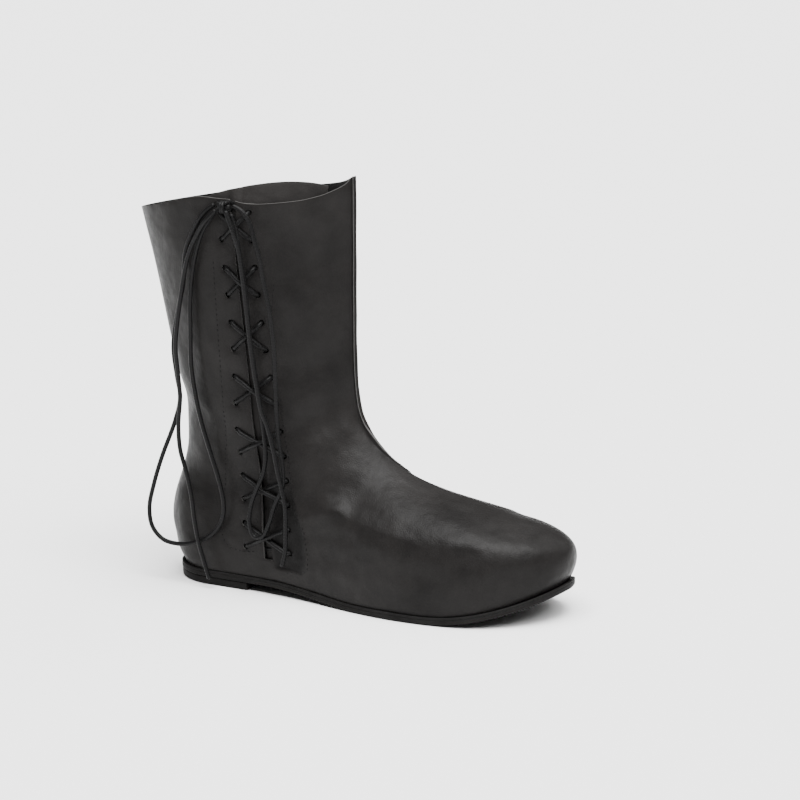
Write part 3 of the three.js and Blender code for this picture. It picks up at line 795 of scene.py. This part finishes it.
class BootSizes(bpy.types.PropertyGroup):
    wall: length_setting(
        "Leather", "Thickness of the upper's leather", UPPER_WALL * METRES, 0.0008
    )
    seam_height: length_setting(
        "Seam Height", "How far the raw edges of the front seam stand out",
        SEAM_HEIGHT * METRES, 0.0005,
    )
    fold_depth: bpy.props.FloatProperty(
        name="Fold Depth", description="Depth of the creases and dents, as a share of their own",
        default=1.0, min=0.0, max=1.5, subtype="FACTOR",
    )
    stitch_length: length_setting("Stitch", "Length of one stitch", 0.0026, 0.001)
    stitch_gap: length_setting("Stitch Gap", "Gap between two stitches", 0.0009, 0.0002)
    lace_diameter: length_setting(
        "Lace", "Diameter of the round lace", 2 * LACE_RADIUS * METRES, 0.001
    )


class BootFinish(bpy.types.PropertyGroup):
    leather: colour_setting("Leather", "Colour of the upper", (0.0098, 0.0091, 0.0088))
    raw_edge: colour_setting(
        "Raw Edge", "Colour of the leather where it is cut", (0.06, 0.058, 0.056)
    )
    lining: colour_setting(
        "Lining", "Colour of the lining and the insole", (0.007, 0.0068, 0.0066)
    )
    rubber: colour_setting("Rubber", "Colour of the sole", (0.0085, 0.0081, 0.0079))
    cord: colour_setting("Cord", "Colour of the lace", (0.0042, 0.0041, 0.0042))


class BOOT_OT_camera(bpy.types.Operator):
    """Adds the camera at the photo's viewing angle"""

    bl_idname = "boot.camera"
    bl_label = "Camera"

    def execute(self, context):
        place = (
            VIEW_STATION + VIEW_DISTANCE * math.sin(VIEW_TURN),
            -VIEW_DISTANCE * math.cos(VIEW_TURN),
            VIEW_HEIGHT,
        )
        aim = Vector((
            -math.sin(AIM_TURN) * math.cos(AIM_DROP),
            math.cos(AIM_TURN) * math.cos(AIM_DROP),
            -math.sin(AIM_DROP),
        ))
        turn = aim.to_track_quat("-Z", "Y").to_euler()
        bpy.ops.object.camera_add(location=to_frame(place), rotation=turn)
        camera = context.object
        camera.name = "photo_view"
        camera.data.sensor_width = 36
        camera.data.lens = VIEW_LENS
        camera.data.clip_start = 0.05
        camera.data.clip_end = 100
        context.scene.camera = camera
        return {"FINISHED"}


class BOOT_OT_bow(bpy.types.Operator):
    """Adds the bow at the top of the slit: its knot, its two long loops and its two ends"""

    bl_idname = "boot.bow"
    bl_label = "Bow"

    def execute(self, context):
        cord = material_of("cord")
        radius = context.scene.boot_sizes.lace_diameter / 2
        for name, route, length, far_end in (
            ("lace_loop_rear_cord", LOOP_REAR, 0.535, "object"),
            ("lace_end_rear_cord", END_REAR, 0.269, "bare"),
            ("lace_loop_front_cord", LOOP_FRONT, 0.46, "object"),
            ("lace_end_front_cord", END_FRONT, 0.239, "bare"),
        ):
            path = to_frame(catmull_rom(route, 8))
            piece = tube(name, [path], radius, 14, [cord])
            wear(piece, "lace_cord", name.removesuffix("_cord"))
        knot = tube("lace_knot_turns", self.turns(), radius, 14, [cord])
        wear(knot, "lace_cord", "lace_knot")
        return {"FINISHED"}

    def turns(self):
        """The wrap round the middle of the bow and the two strands that run through it."""
        centre, size = np.array(KNOT["at"]), np.array(KNOT["size"])
        reach = size - LACE_RADIUS
        angle = np.linspace(0.15, 2.35, 60) * 2 * math.pi
        drift = np.linspace(-1.9, 1.9, 60)
        slack = 1 + 0.06 * np.sin(3 * angle)
        wrap = np.stack([drift, reach[1] * np.cos(angle) * slack, reach[2] * np.sin(angle)], 1)
        t = np.linspace(-1, 1, 30)
        strands = [
            np.stack([reach[0] * t, -0.9 + 1.1 * t**2 * way, way * (0.7 - 1.5 * t)], 1)
            for way in (-1, 1)
        ]
        return [to_frame(path + centre) for path in (wrap, *strands)]


class BOOT_OT_upper(bpy.types.Operator):
    """Adds the leather upper on its last, with its wall, slit, punched holes, creases and folds"""

    bl_idname = "boot.upper"
    bl_label = "Upper"
    rows = 150
    ahead, over, behind, inner = 80, 2, 34, 116

    def execute(self, context):
        sizes = context.scene.boot_sizes
        grid = self.grid(sizes.fold_depth)
        points, faces = self.cut(grid)
        materials = [material_of(name) for name in ("leather", "raw_edge", "lining")]
        upper = add_mesh("upper_leather", to_frame(points), faces, materials)
        self.mark_painted_shade(upper, np.array(points))
        give_wall(upper, sizes.wall, 0.00028)
        wear(upper, "upper_leather", "upper")
        return {"FINISHED"}

    def grid(self, depth):
        """Points of the outer face, one row for each ring: front, lacing side, back, inner side."""
        rows = []
        fine = (1 + np.cos(np.linspace(0, math.pi, 240))) / 2
        for rise in np.linspace(0, 1, self.rows + 1):
            ring = ring_at(np.float64(rise))
            outer = ring_point(ring, fine, OUTER)
            inner = ring_point(ring, fine, INNER)
            run = run_along(outer)
            aside = outer[:, 0] - slit_station(outer[:, 2])
            half = slit_half_width(outer[:, 2])
            front_edge = np.interp(0, half - aside, run)
            rear_edge = np.interp(0, -half - aside, run)
            stops = np.concatenate([
                np.linspace(0, front_edge, self.ahead + 1)[:-1],
                np.linspace(front_edge, rear_edge, self.over + 1)[:-1],
                np.linspace(rear_edge, run[-1], self.behind + 1),
            ])
            inner_run = run_along(inner)
            inner_stops = np.linspace(inner_run[-1], 0, self.inner + 1)[1:-1]
            halves = at_runs(stops, run, outer), at_runs(inner_stops, inner_run, inner)
            rows.append(np.concatenate(halves))
        grid = np.array(rows)
        along = np.roll(grid, -1, axis=1) - np.roll(grid, 1, axis=1)
        out = unit(np.cross(np.gradient(grid, axis=0), along))
        middle = grid.mean(axis=(0, 1))
        out *= np.sign(((grid - middle) * out).sum())
        side = np.full(grid.shape[:2], INNER)
        side[:, : self.ahead + self.over + self.behind] = OUTER
        seam_fade = smooth((grid[..., 2] - sole_top(grid[..., 0])) / 10)
        lift = relief(grid[..., 0], grid[..., 2], side, depth) * seam_fade
        blend = smooth(np.abs(grid[..., 1] - sole_middle(grid[..., 0])) / 9)
        return grid + out * (lift * blend)[..., None]

    def mark_painted_shade(self, upper, points):
        """Notes how far each point lies in the painted shade over the sunk leather at the tongue's
        foot.
        """
        # Painted shade: this mask darkens the leather's colour over the tongue's foot
        share = np.where(points[:, 1] < 0, facing(points[:, 0], points[:, 2]), 0)
        layer = upper.data.attributes.new(PAINTED_SHADE_ATTRIBUTE, "FLOAT", "POINT")
        layer.data.foreach_set("value", share.astype(np.float32))

    def cut(self, grid):
        """The faces of the grid without the slit, and with a round hole set into each block."""
        rows, columns = grid.shape[:2]
        points = [tuple(p) for p in grid.reshape(-1, 3)]
        keep = np.ones((rows - 1, columns), bool)
        low = self.ahead + np.arange(self.over)
        above = grid[:-1, low, 2] >= SLIT_END_HEIGHT
        keep[:, low] &= ~above
        rims = []
        for row in range(HOLE_ROWS):
            for edge in (-1, 1):
                rims.append(self.hole(grid, keep, hole_place(row, edge)))
        faces = []
        for j, i in zip(*np.nonzero(keep)):
            n = (i + 1) % columns
            corners = ((j, i), (j + 1, i), (j + 1, n), (j, n))
            faces.append([a * columns + b for a, b in corners])
        for block, circle in rims:
            start = len(points)
            points += [tuple(p) for p in circle]
            count = len(block)
            for k in range(count):
                n = (k + 1) % count
                faces.append([block[n], block[k], start + k, start + n])
        used = sorted({v for face in faces for v in face})
        place = {old: new for new, old in enumerate(used)}
        points = [points[old] for old in used]
        faces = [[place[v] for v in face] for face in faces]
        flip = self.turned_in(points, faces)
        return points, [face[::-1] for face in faces] if flip else faces

    def turned_in(self, points, faces):
        corners = np.array([[points[v] for v in face] for face in faces[:4000]])
        normals = np.cross(corners[:, 1] - corners[:, 0], corners[:, 2] - corners[:, 0])
        middle = np.array(points).mean(axis=0)
        return ((corners[:, 0] - middle) * normals).sum() < 0

    def hole(self, grid, keep, place):
        """Drops a block of faces round a hole, and gives its edge and the round edge to set in."""
        columns = grid.shape[1]
        centre = on_side(*place)
        reach = HOLE_RADIUS + HOLE_MARGIN
        away = np.linalg.norm(grid - centre, axis=2)
        j0, i0 = np.unravel_index(np.argmin(away), away.shape)
        centre = self.nearest_on(grid, centre, j0, i0)

        def span(step_j, step_i):
            n = 1
            while away[j0 + n * step_j, i0 + n * step_i] < reach:
                n += 1
            return n

        down, up, left, right = span(-1, 0), span(1, 0), span(0, -1), span(0, 1)
        keep[j0 - down : j0 + up, i0 - left : i0 + right] = False
        corners = [(j0 - down, i) for i in range(i0 - left, i0 + right)]
        corners += [(j, i0 + right) for j in range(j0 - down, j0 + up)]
        corners += [(j0 + up, i) for i in range(i0 + right, i0 - left, -1)]
        corners += [(j, i0 - left) for j in range(j0 + up, j0 - down, -1)]
        out = unit(centre - standing_off(*place, -HOLE_DEPTH))
        across = unit(np.cross((0, 0, 1), out))
        upward = np.cross(out, across)
        circle = []
        for j, i in corners:
            way = grid[j, i] - centre
            turn = math.atan2(way @ upward, way @ across)
            edge = math.cos(turn) * across + math.sin(turn) * upward
            circle.append(centre + HOLE_RADIUS * edge - HOLE_SINK * out)
        return [j * columns + i for j, i in corners], circle

    def nearest_on(self, grid, centre, j0, i0):
        """The hole's middle on the folded leather."""
        near = grid[j0 - 1 : j0 + 2, i0 - 1 : i0 + 2].reshape(-1, 3)
        weight = 1 / (np.linalg.norm(near - centre, axis=1) + 0.3) ** 2
        return centre + ((near - centre) * weight[:, None]).sum(0) / weight.sum() * 0.5


def leather_surface():
    """The upper as it lies, for pieces that are set on it."""
    return BVHTree.FromObject(
        bpy.data.objects["upper_leather"], bpy.context.evaluated_depsgraph_get()
    )


def set_on(surface, point, lift=0.0):
    """The nearest place on a surface to a point outside it, in metres, and the way out of it."""
    place, out, _, _ = surface.find_nearest(Vector(point))
    return np.array(place + out * lift), np.array(out)


class BOOT_OT_seam(bpy.types.Operator):
    """Adds the front seam: two raw edges side by side down the shaft, flat round the inner side"""

    bl_idname = "boot.seam"
    bl_label = "Front Seam"
    rows, evening = 300, 12
    # The section from its foot over one raw edge into the groove, as (across, out)
    section = [
        (7.4, -0.5), (5.6, -0.1), (4.2, 0.05), (3.3, 0.16), (2.6, 0.42), (2.15, 0.95),
        (1.92, 1.7), (1.8, 2.3), (1.58, 2.58), (1.1, 2.64), (0.66, 2.56), (0.5, 2.3), (0.44, 1.2),
        (0.2, 0.35),
    ]
    raw = (8, 9, 10)

    def execute(self, context):
        height = context.scene.boot_sizes.seam_height / METRES / SEAM_HEIGHT
        surface = leather_surface()
        rises = mix(0.02, 1, np.linspace(0, 1, self.rows))
        middle = np.array([self.point(rise, 0) for rise in rises])
        across = unit(np.array([self.point(r, 0.006) - self.point(r, -0.006) for r in rises]))
        outward = unit(np.cross(np.gradient(middle, axis=0), across))
        outward *= np.sign(((middle - (100, 0, 60)) * outward).sum())
        half = self.section
        section = half + [(-a, h) for a, h in reversed(half)] + [(-7.0, -1.0), (7.0, -1.0)]
        points = []
        for i, rise in enumerate(rises):
            standing = smooth((rise - 0.5) / 0.15)
            flat = mix(FLAT_SEAM_HEIGHT / SEAM_HEIGHT, 1, standing) * height
            search = outward[i] * SEARCH_HEIGHT * (1 - standing)
            wobble = 0.12 * math.sin(i * 0.21) + 0.07 * math.sin(i * 0.57 + 1)
            top = SEAM_PEAK * smooth((i - self.rows + 4) / 3)
            for a, h in section:
                at = middle[i] + across[i] * (a + wobble)
                place, out = set_on(surface, to_frame(at + search))
                rise_by = h * flat * (1 + 0.05 * math.sin(i * 0.33 + a)) if h > 0.3 else h
                point = place + out * rise_by * METRES
                point[2] += top * METRES
                points.append(point)
        count = len(section)
        # Evens out small steps where the seam turns from the shaft to the inner side
        points = np.array(points).reshape(self.rows, count, 3)
        for _ in range(self.evening):
            points[1:-1] = (points[:-2] + 2 * points[1:-1] + points[2:]) / 4
        points = points.reshape(-1, 3)
        faces, indices = [], []
        for i in range(self.rows - 1):
            for k in range(count):
                n = (k + 1) % count
                a, b = i * count + k, i * count + n
                faces.append((a, b, b + count, a + count))
                raw = k in self.raw or (2 * len(half) - 2 - k) in self.raw
                indices.append(1 if raw else 0)
        last = (self.rows - 1) * count
        faces += [tuple(range(count)), tuple(last + k for k in reversed(range(count)))]
        indices += [0, 1]
        seam = add_mesh(
            "upper_front_seam", points, faces, [material_of("leather"), material_of("raw_edge")],
            indices=indices,
        )
        face_outwards(seam)
        wear(seam, "upper_leather", "upper")
        return {"FINISHED"}

    def point(self, rise, aside):
        ring = ring_at(np.float64(rise))
        past = 1 - (FLAT_SEAM_STATION - ring["back"]) / (ring["front"] - ring["back"])
        turn = (past + math.sqrt(past**2 + 0.03**2)) / 2 + aside
        return ring_point(ring, 1 - abs(turn), OUTER if turn < 0 else INNER)


def sole_outline(inset, count, end=None):
    """Points round the sole's outline at even steps, or round its heel up to a station."""
    far = SOLE_LENGTH - inset if end is None else end
    middle, half = (inset + far) / 2, (far - inset) / 2
    share = np.linspace(0, 1, 400)
    if end is None:
        station = middle - half * np.cos(math.pi * share)
    else:
        station = inset + (far - inset) * (1 - np.cos(math.pi * share / 2))
    sides = [np.stack([station, outline_edge(station, side, inset)], 1) for side in (OUTER, INNER)]
    loop = np.concatenate([sides[0], sides[1][::-1][1:-1]])
    loop = np.vstack([loop, loop[:1]])
    run = run_along(loop)
    return at_runs(np.linspace(0, run[-1], count, endpoint=False), run, loop)


def board(name, outline, thickness, span, materials):
    """A flat board cut to an outline: a circle set to it, filled with a grid and pulled up."""
    bpy.ops.object.select_all(action="DESELECT")
    bpy.ops.mesh.primitive_circle_add(vertices=len(outline), radius=0.1, fill_type="NOTHING")
    piece = bpy.context.object
    piece.name = name
    for vertex, (x, y) in zip(piece.data.vertices, outline):
        vertex.co = ((x - ORIGIN_STATION) * METRES, y * METRES, 0)
    bpy.ops.object.mode_set(mode="EDIT")
    bpy.ops.mesh.select_all(action="SELECT")
    bpy.ops.mesh.fill_grid(span=span)
    bpy.ops.mesh.select_all(action="SELECT")
    bpy.ops.mesh.extrude_region_move(
        TRANSFORM_OT_translate={"value": (0, 0, thickness * METRES)}
    )
    bpy.ops.object.mode_set(mode="OBJECT")
    face_outwards(piece)
    for material in materials:
        piece.data.materials.append(material)
    return piece


def cut_lines(piece, heights):
    """Cuts edge lines round a flat board at heights in millimetres."""
    pick(piece)
    bpy.ops.object.mode_set(mode="EDIT")
    for height in heights:
        bpy.ops.mesh.select_all(action="SELECT")
        bpy.ops.mesh.bisect(plane_co=(0, 0, height * METRES), plane_no=(0, 0, 1))
    bpy.ops.object.mode_set(mode="OBJECT")


def draw_in(piece, profile):
    """Moves a board's side in by the distance that its profile has at each height."""
    mesh = piece.data
    edges = bmesh.new()
    edges.from_mesh(mesh)
    edges.normal_update()
    moves = {}
    for vertex in edges.verts:
        sides = [face.normal for face in vertex.link_faces if abs(face.normal.z) < 0.5]
        if not sides:
            continue
        out = sum(sides, Vector())
        out.z = 0
        out.normalize()
        inset = np.interp(vertex.co.z / METRES, [z for z, _ in profile], [d for _, d in profile])
        moves[vertex.index] = out * (-inset * METRES)
    edges.free()
    for index, move in moves.items():
        mesh.vertices[index].co += move


def bend_to_sole(piece, base):
    """Sets a flat board on the sole's curve."""
    for vertex in piece.data.vertices:
        station = vertex.co.x / METRES + ORIGIN_STATION
        vertex.co.z += float(base(station)) * METRES


def smooth_by_angle(piece, degrees):
    pick(piece)
    bpy.ops.object.shade_smooth_by_angle(angle=math.radians(degrees))


class BOOT_OT_sole(bpy.types.Operator):
    """Adds the thin outsole with its rounded edge and fine groove, and the low heel block"""

    bl_idname = "boot.sole"
    bl_label = "Sole"
    # Distance that the side is drawn in at each height over the sole's foot
    edge_profile = [
        (0, 1.4), (0.12, 0.85), (0.45, 0.3), (1.0, 0.05), (1.6, 0), (2.9, 0), (3.3, 0.05),
        (3.5, 0.2), (3.7, 0.05), (3.9, 0), (4.5, 0.02), (4.8, 0.14), (5, 0.42),
    ]
    lift_profile = [(0, 0.7), (0.15, 0.35), (0.6, 0.06), (1.2, 0), (4.4, 0), (4.75, 0.12), (5, 0.3)]

    def execute(self, context):
        rubber = [material_of("moulded_rubber")]
        outline = sole_outline(0, 280)
        sole = board("outsole_rubber", outline, SOLE_THICKNESS, 44, rubber)
        cut_lines(sole, [height for height, _ in self.edge_profile[1:-1]])
        draw_in(sole, self.edge_profile)
        bend_to_sole(sole, sole_bottom)
        smooth_by_angle(sole, 50)
        wear(sole, "sole_rubber", "outsole")

        heel = sole_outline(LIFT_INSET, 150, HEEL_BREAST)
        lift = board("heel_lift_rubber", heel, HEEL_HEIGHT, 24, rubber)
        cut_lines(lift, [height for height, _ in self.lift_profile[1:-1]])
        draw_in(lift, self.lift_profile)
        smooth_by_angle(lift, 40)
        wear(lift, "sole_rubber", "heel_lift")
        return {"FINISHED"}


class BOOT_OT_insole(bpy.types.Operator):
    """Adds the insole inside the upper, with its rounded edge, laid on the sole's curve"""

    bl_idname = "boot.insole"
    bl_label = "Insole"
    profile = [(0, 0), (2.2, 0), (2.6, 0.15), (2.9, 0.45), (3, 0.8)]

    def execute(self, context):
        inset = WELT_WIDTH + UPPER_WALL + INSOLE_MARGIN
        outline = sole_outline(inset, 220)
        insole = board("insole_sock", outline, INSOLE_THICKNESS, 34, [material_of("lining")])
        cut_lines(insole, [height for height, _ in self.profile[1:-1]])
        draw_in(insole, self.profile)
        bend_to_sole(insole, lambda station: sole_top(station) + CLEARANCE)
        smooth_by_angle(insole, 50)
        wear(insole, "insole_lining", "insole")
        return {"FINISHED"}


class BOOT_OT_tongue(bpy.types.Operator):
    """Adds the tongue behind the slit, full between the rows of holes and arched at its top"""

    bl_idname = "boot.tongue"
    bl_label = "Tongue"
    columns, rows = 48, 120

    def execute(self, context):
        grid = self.grid()
        points = to_frame(grid.reshape(-1, 3))
        width = self.columns + 1
        faces = [
            (j * width + i, j * width + i + 1, (j + 1) * width + i + 1, (j + 1) * width + i)
            for j in range(self.rows)
            for i in range(self.columns)
        ]
        # The tongue's finish is the upper's leather with painted light
        materials = [material_of(name) for name in ("tongue_leather_painted_light", "raw_edge", "lining")]
        tongue = add_mesh("tongue_leather_painted_light", points, faces, materials)
        give_wall(tongue, TONGUE_WALL * METRES, 0.00025)
        wear(tongue, "upper_leather", "tongue")
        return {"FINISHED"}

    def grid(self):
        across = np.linspace(0, 1, self.columns + 1)[None, :]
        up = np.linspace(0, 1, self.rows + 1)[:, None]
        foot = mix(TONGUE_FOOT[0], TONGUE_FOOT[1], across)
        top = mix(TONGUE_TOP[0], TONGUE_TOP[1], across)
        collar = ring_at(np.float64(1))
        share = (top - collar["back"]) / (collar["front"] - collar["back"])
        arch = TONGUE_RISE * (1 - np.abs(2 * across - 1) ** 2.4) - TONGUE_DROP
        crest = mix(COLLAR_BACK, COLLAR_FRONT, share) + arch
        height = mix(TONGUE_HEIGHT, crest, up)
        climb = clamp01(height / COLLAR_BACK)
        station = mix(foot, top, climb)
        below = np.minimum(height, COLLAR_BACK + TONGUE_FOLLOW)
        aside = np.abs(station - slit_station(below))
        rear, front = (mix(foot[:, [k]], top[:, [k]], climb) for k in (0, -1))
        edge = np.minimum(station - rear, front - station)
        pressed = 2.6 * smooth((aside - 2.5) / 4) * smooth(edge / 9)
        ripple = 0.5 * np.sin(height / 15.5 + 0.6) * np.sin(station / 17 + height / 60)
        depth = UPPER_WALL + TONGUE_GAP + pressed + 0.5 * (1 + ripple) * smooth(edge / 12)
        point = standing_off(station, below, -depth)
        point[..., 2] += height - below
        point[..., 1] += (height - below) * TONGUE_LEAN
        return point


class BOOT_OT_lacing(bpy.types.Operator):
    """Adds the one lace that runs down through the holes, crosses over the slit and comes up"""

    bl_idname = "boot.lacing"
    bl_label = "Lacing"
    inside = -(UPPER_WALL + LACE_RADIUS + 0.25)

    def execute(self, context):
        radius = context.scene.boot_sizes.lace_diameter / 2
        path = to_frame(catmull_rom(self.route(), 5))
        lace = tube("lace_through_holes", [path], radius * 0.97, 12, [material_of("cord")])
        nodes = [f"lace_cross_{i + 1}" for i in range(HOLE_ROWS // 2)]
        wear(lace, "lace_cord", *nodes)
        return {"FINISHED"}

    def at(self, place, distance):
        return standing_off(place[0], place[1], np.float64(distance))

    def strand(self, start, end, over):
        """From one hole over the slit to another, lying on the leather or over the first strand."""
        hump = 4.1 if over else 1.55
        steps = [(0.0, self.inside), (0.015, -0.9), (0.09, 1.15), (0.24, 1.6), (0.5, hump)]
        steps += [(1 - t, off) for t, off in reversed(steps[:-1])]
        a, b = np.array(start), np.array(end)
        return [self.at(mix(a, b, t), off) for t, off in steps]

    def route(self):
        """Points of the whole lace, from the knot down one way and up the other."""
        ways = []
        for first in (1, -1):
            edge, points = first, []
            for pair in range(HOLE_ROWS // 2):
                upper, lower = 2 * pair, 2 * pair + 1
                start, end = hole_place(upper, edge), hole_place(lower, -edge)
                points += self.strand(start, end, (edge == 1) == (pair % 2 == 0))
                edge = -edge
                if lower + 1 < HOLE_ROWS:
                    after = hole_place(lower + 1, edge)
                    points.append(self.at(mix(np.array(end), np.array(after), 0.5), self.inside))
            ways.append(points)
        out = [
            [(61.5, -45.6, 263.5 + 1.4 * way), self.at((62.4, 262.5 + 2 * way), -1.0),
             self.at((62.4 + 3.2 * way, 262), self.inside)]
            for way in (1, -1)
        ]
        low = HOLE_ROWS - 1
        bar = self.at((slit_station(hole_place(low, 1)[1]), hole_place(low, 1)[1]), self.inside)
        return out[0] + ways[0] + [bar] + ways[1][::-1] + out[1][::-1]


class BOOT_OT_stitching(bpy.types.Operator):
    """Adds the thread that holds the tongue's edges to the upper"""

    bl_idname = "boot.stitching"
    bl_label = "Stitching"

    def execute(self, context):
        sizes = context.scene.boot_sizes
        surface = leather_surface()
        points, faces = self.stitch(sizes.stitch_length)
        all_points, all_faces = [], []
        for line in TONGUE_STITCHES:
            route = catmull_rom([(x, 0, z) for x, z in line], 30)
            path = to_frame(standing_off(route[:, 0], route[:, 2], SEARCH_HEIGHT))
            run = run_along(path)
            pitch = sizes.stitch_length + sizes.stitch_gap
            for stop in np.arange(pitch / 2, run[-1], pitch):
                behind, middle, ahead = (at_runs(stop + d, run, path) for d in (-0.0004, 0, 0.0004))
                place, out = set_on(surface, middle, 0.00008)
                along = unit(ahead - behind)
                side = unit(np.cross(out, along))
                start = len(all_points)
                turn = np.stack([along, side, np.cross(along, side)])
                all_points += list(points @ turn + place)
                all_faces += [tuple(v + start for v in face) for face in faces]
        thread = add_mesh("tongue_stitching", all_points, all_faces, [material_of("thread")])
        wear(thread, "lace_cord")
        return {"FINISHED"}

    def stitch(self, length):
        """One stitch: a small sphere drawn out along its thread, sunk at both ends."""
        bpy.ops.object.select_all(action="DESELECT")
        bpy.ops.mesh.primitive_uv_sphere_add(segments=8, ring_count=6, radius=0.5)
        model = bpy.context.object
        points = np.array([v.co for v in model.data.vertices])[:, [2, 0, 1]]
        faces = [tuple(p.vertices) for p in model.data.polygons]
        bpy.data.objects.remove(model)
        points = points * (length, 0.00055, 0.00045)
        points[:, 2] -= 0.0004 * (np.abs(points[:, 0]) / (length / 2)) ** 3
        return points, faces


class BOOT_OT_stage(bpy.types.Operator):
    """Adds the pale floor and the soft light"""

    bl_idname = "boot.stage"
    bl_label = "Stage"

    def execute(self, context):
        bpy.ops.object.select_all(action="DESELECT")
        bpy.ops.mesh.primitive_plane_add(size=60, location=(0, 0, FLOOR_HEIGHT - 0.0002))
        floor = context.object
        floor.name = "floor"
        paper = shaded("floor", (0.9, 0.9, 0.9), 0.8, Specular_IOR_Level=0.1)[0]
        floor.data.materials.append(paper)
        world = bpy.data.worlds.new("studio")
        world.use_nodes = True
        light = world.node_tree.nodes["Background"].inputs
        light["Color"].default_value = (1, 1, 1, 1)
        light["Strength"].default_value = 0.12
        context.scene.world = world
        for name, tilt, turn, power, spread in (
            ("top_light", 12, 20, 8.4, 48),
            ("front_light", 33, 62, 3.2, 42),
            ("back_light", -42, -34, 1.4, 60),
        ):
            bpy.ops.object.light_add(type="SUN", rotation=(math.radians(tilt), 0, math.radians(turn)))
            sun = context.object
            sun.name = name
            sun.data.energy = power
            sun.data.angle = math.radians(spread)
        return {"FINISHED"}


class BOOT_PT_boot(bpy.types.Panel):
    """Sizes, colours and pieces of the boot"""

    bl_idname = "BOOT_PT_boot"
    bl_label = "Side-laced Boot"
    bl_space_type = "VIEW_3D"
    bl_region_type = "UI"
    bl_category = "Boot"

    def draw(self, context):
        for group in (context.scene.boot_sizes, context.scene.boot_finish):
            box = self.layout.box()
            for name in group.__annotations__:
                box.prop(group, name)
        for operator in OPERATORS:
            self.layout.operator(operator.bl_idname)


OPERATORS = (
    BOOT_OT_camera,
    BOOT_OT_bow,
    BOOT_OT_upper,
    BOOT_OT_seam,
    BOOT_OT_sole,
    BOOT_OT_insole,
    BOOT_OT_tongue,
    BOOT_OT_lacing,
    BOOT_OT_stitching,
    BOOT_OT_stage,
)
CLASSES = (BootSizes, BootFinish, *OPERATORS, BOOT_PT_boot)


def register():
    for each in CLASSES:
        bpy.utils.register_class(each)
    bpy.types.Scene.boot_sizes = bpy.props.PointerProperty(type=BootSizes)
    bpy.types.Scene.boot_finish = bpy.props.PointerProperty(type=BootFinish)


def unregister():
    del bpy.types.Scene.boot_finish
    del bpy.types.Scene.boot_sizes
    for each in reversed(CLASSES):
        bpy.utils.unregister_class(each)


def main():
    """Builds the boot."""
    register()
    for operator in OPERATORS:
        getattr(bpy.ops.boot, operator.bl_idname.removeprefix("boot."))()
    bpy.context.view_layer.update()


if __name__ == "__main__":
    main()
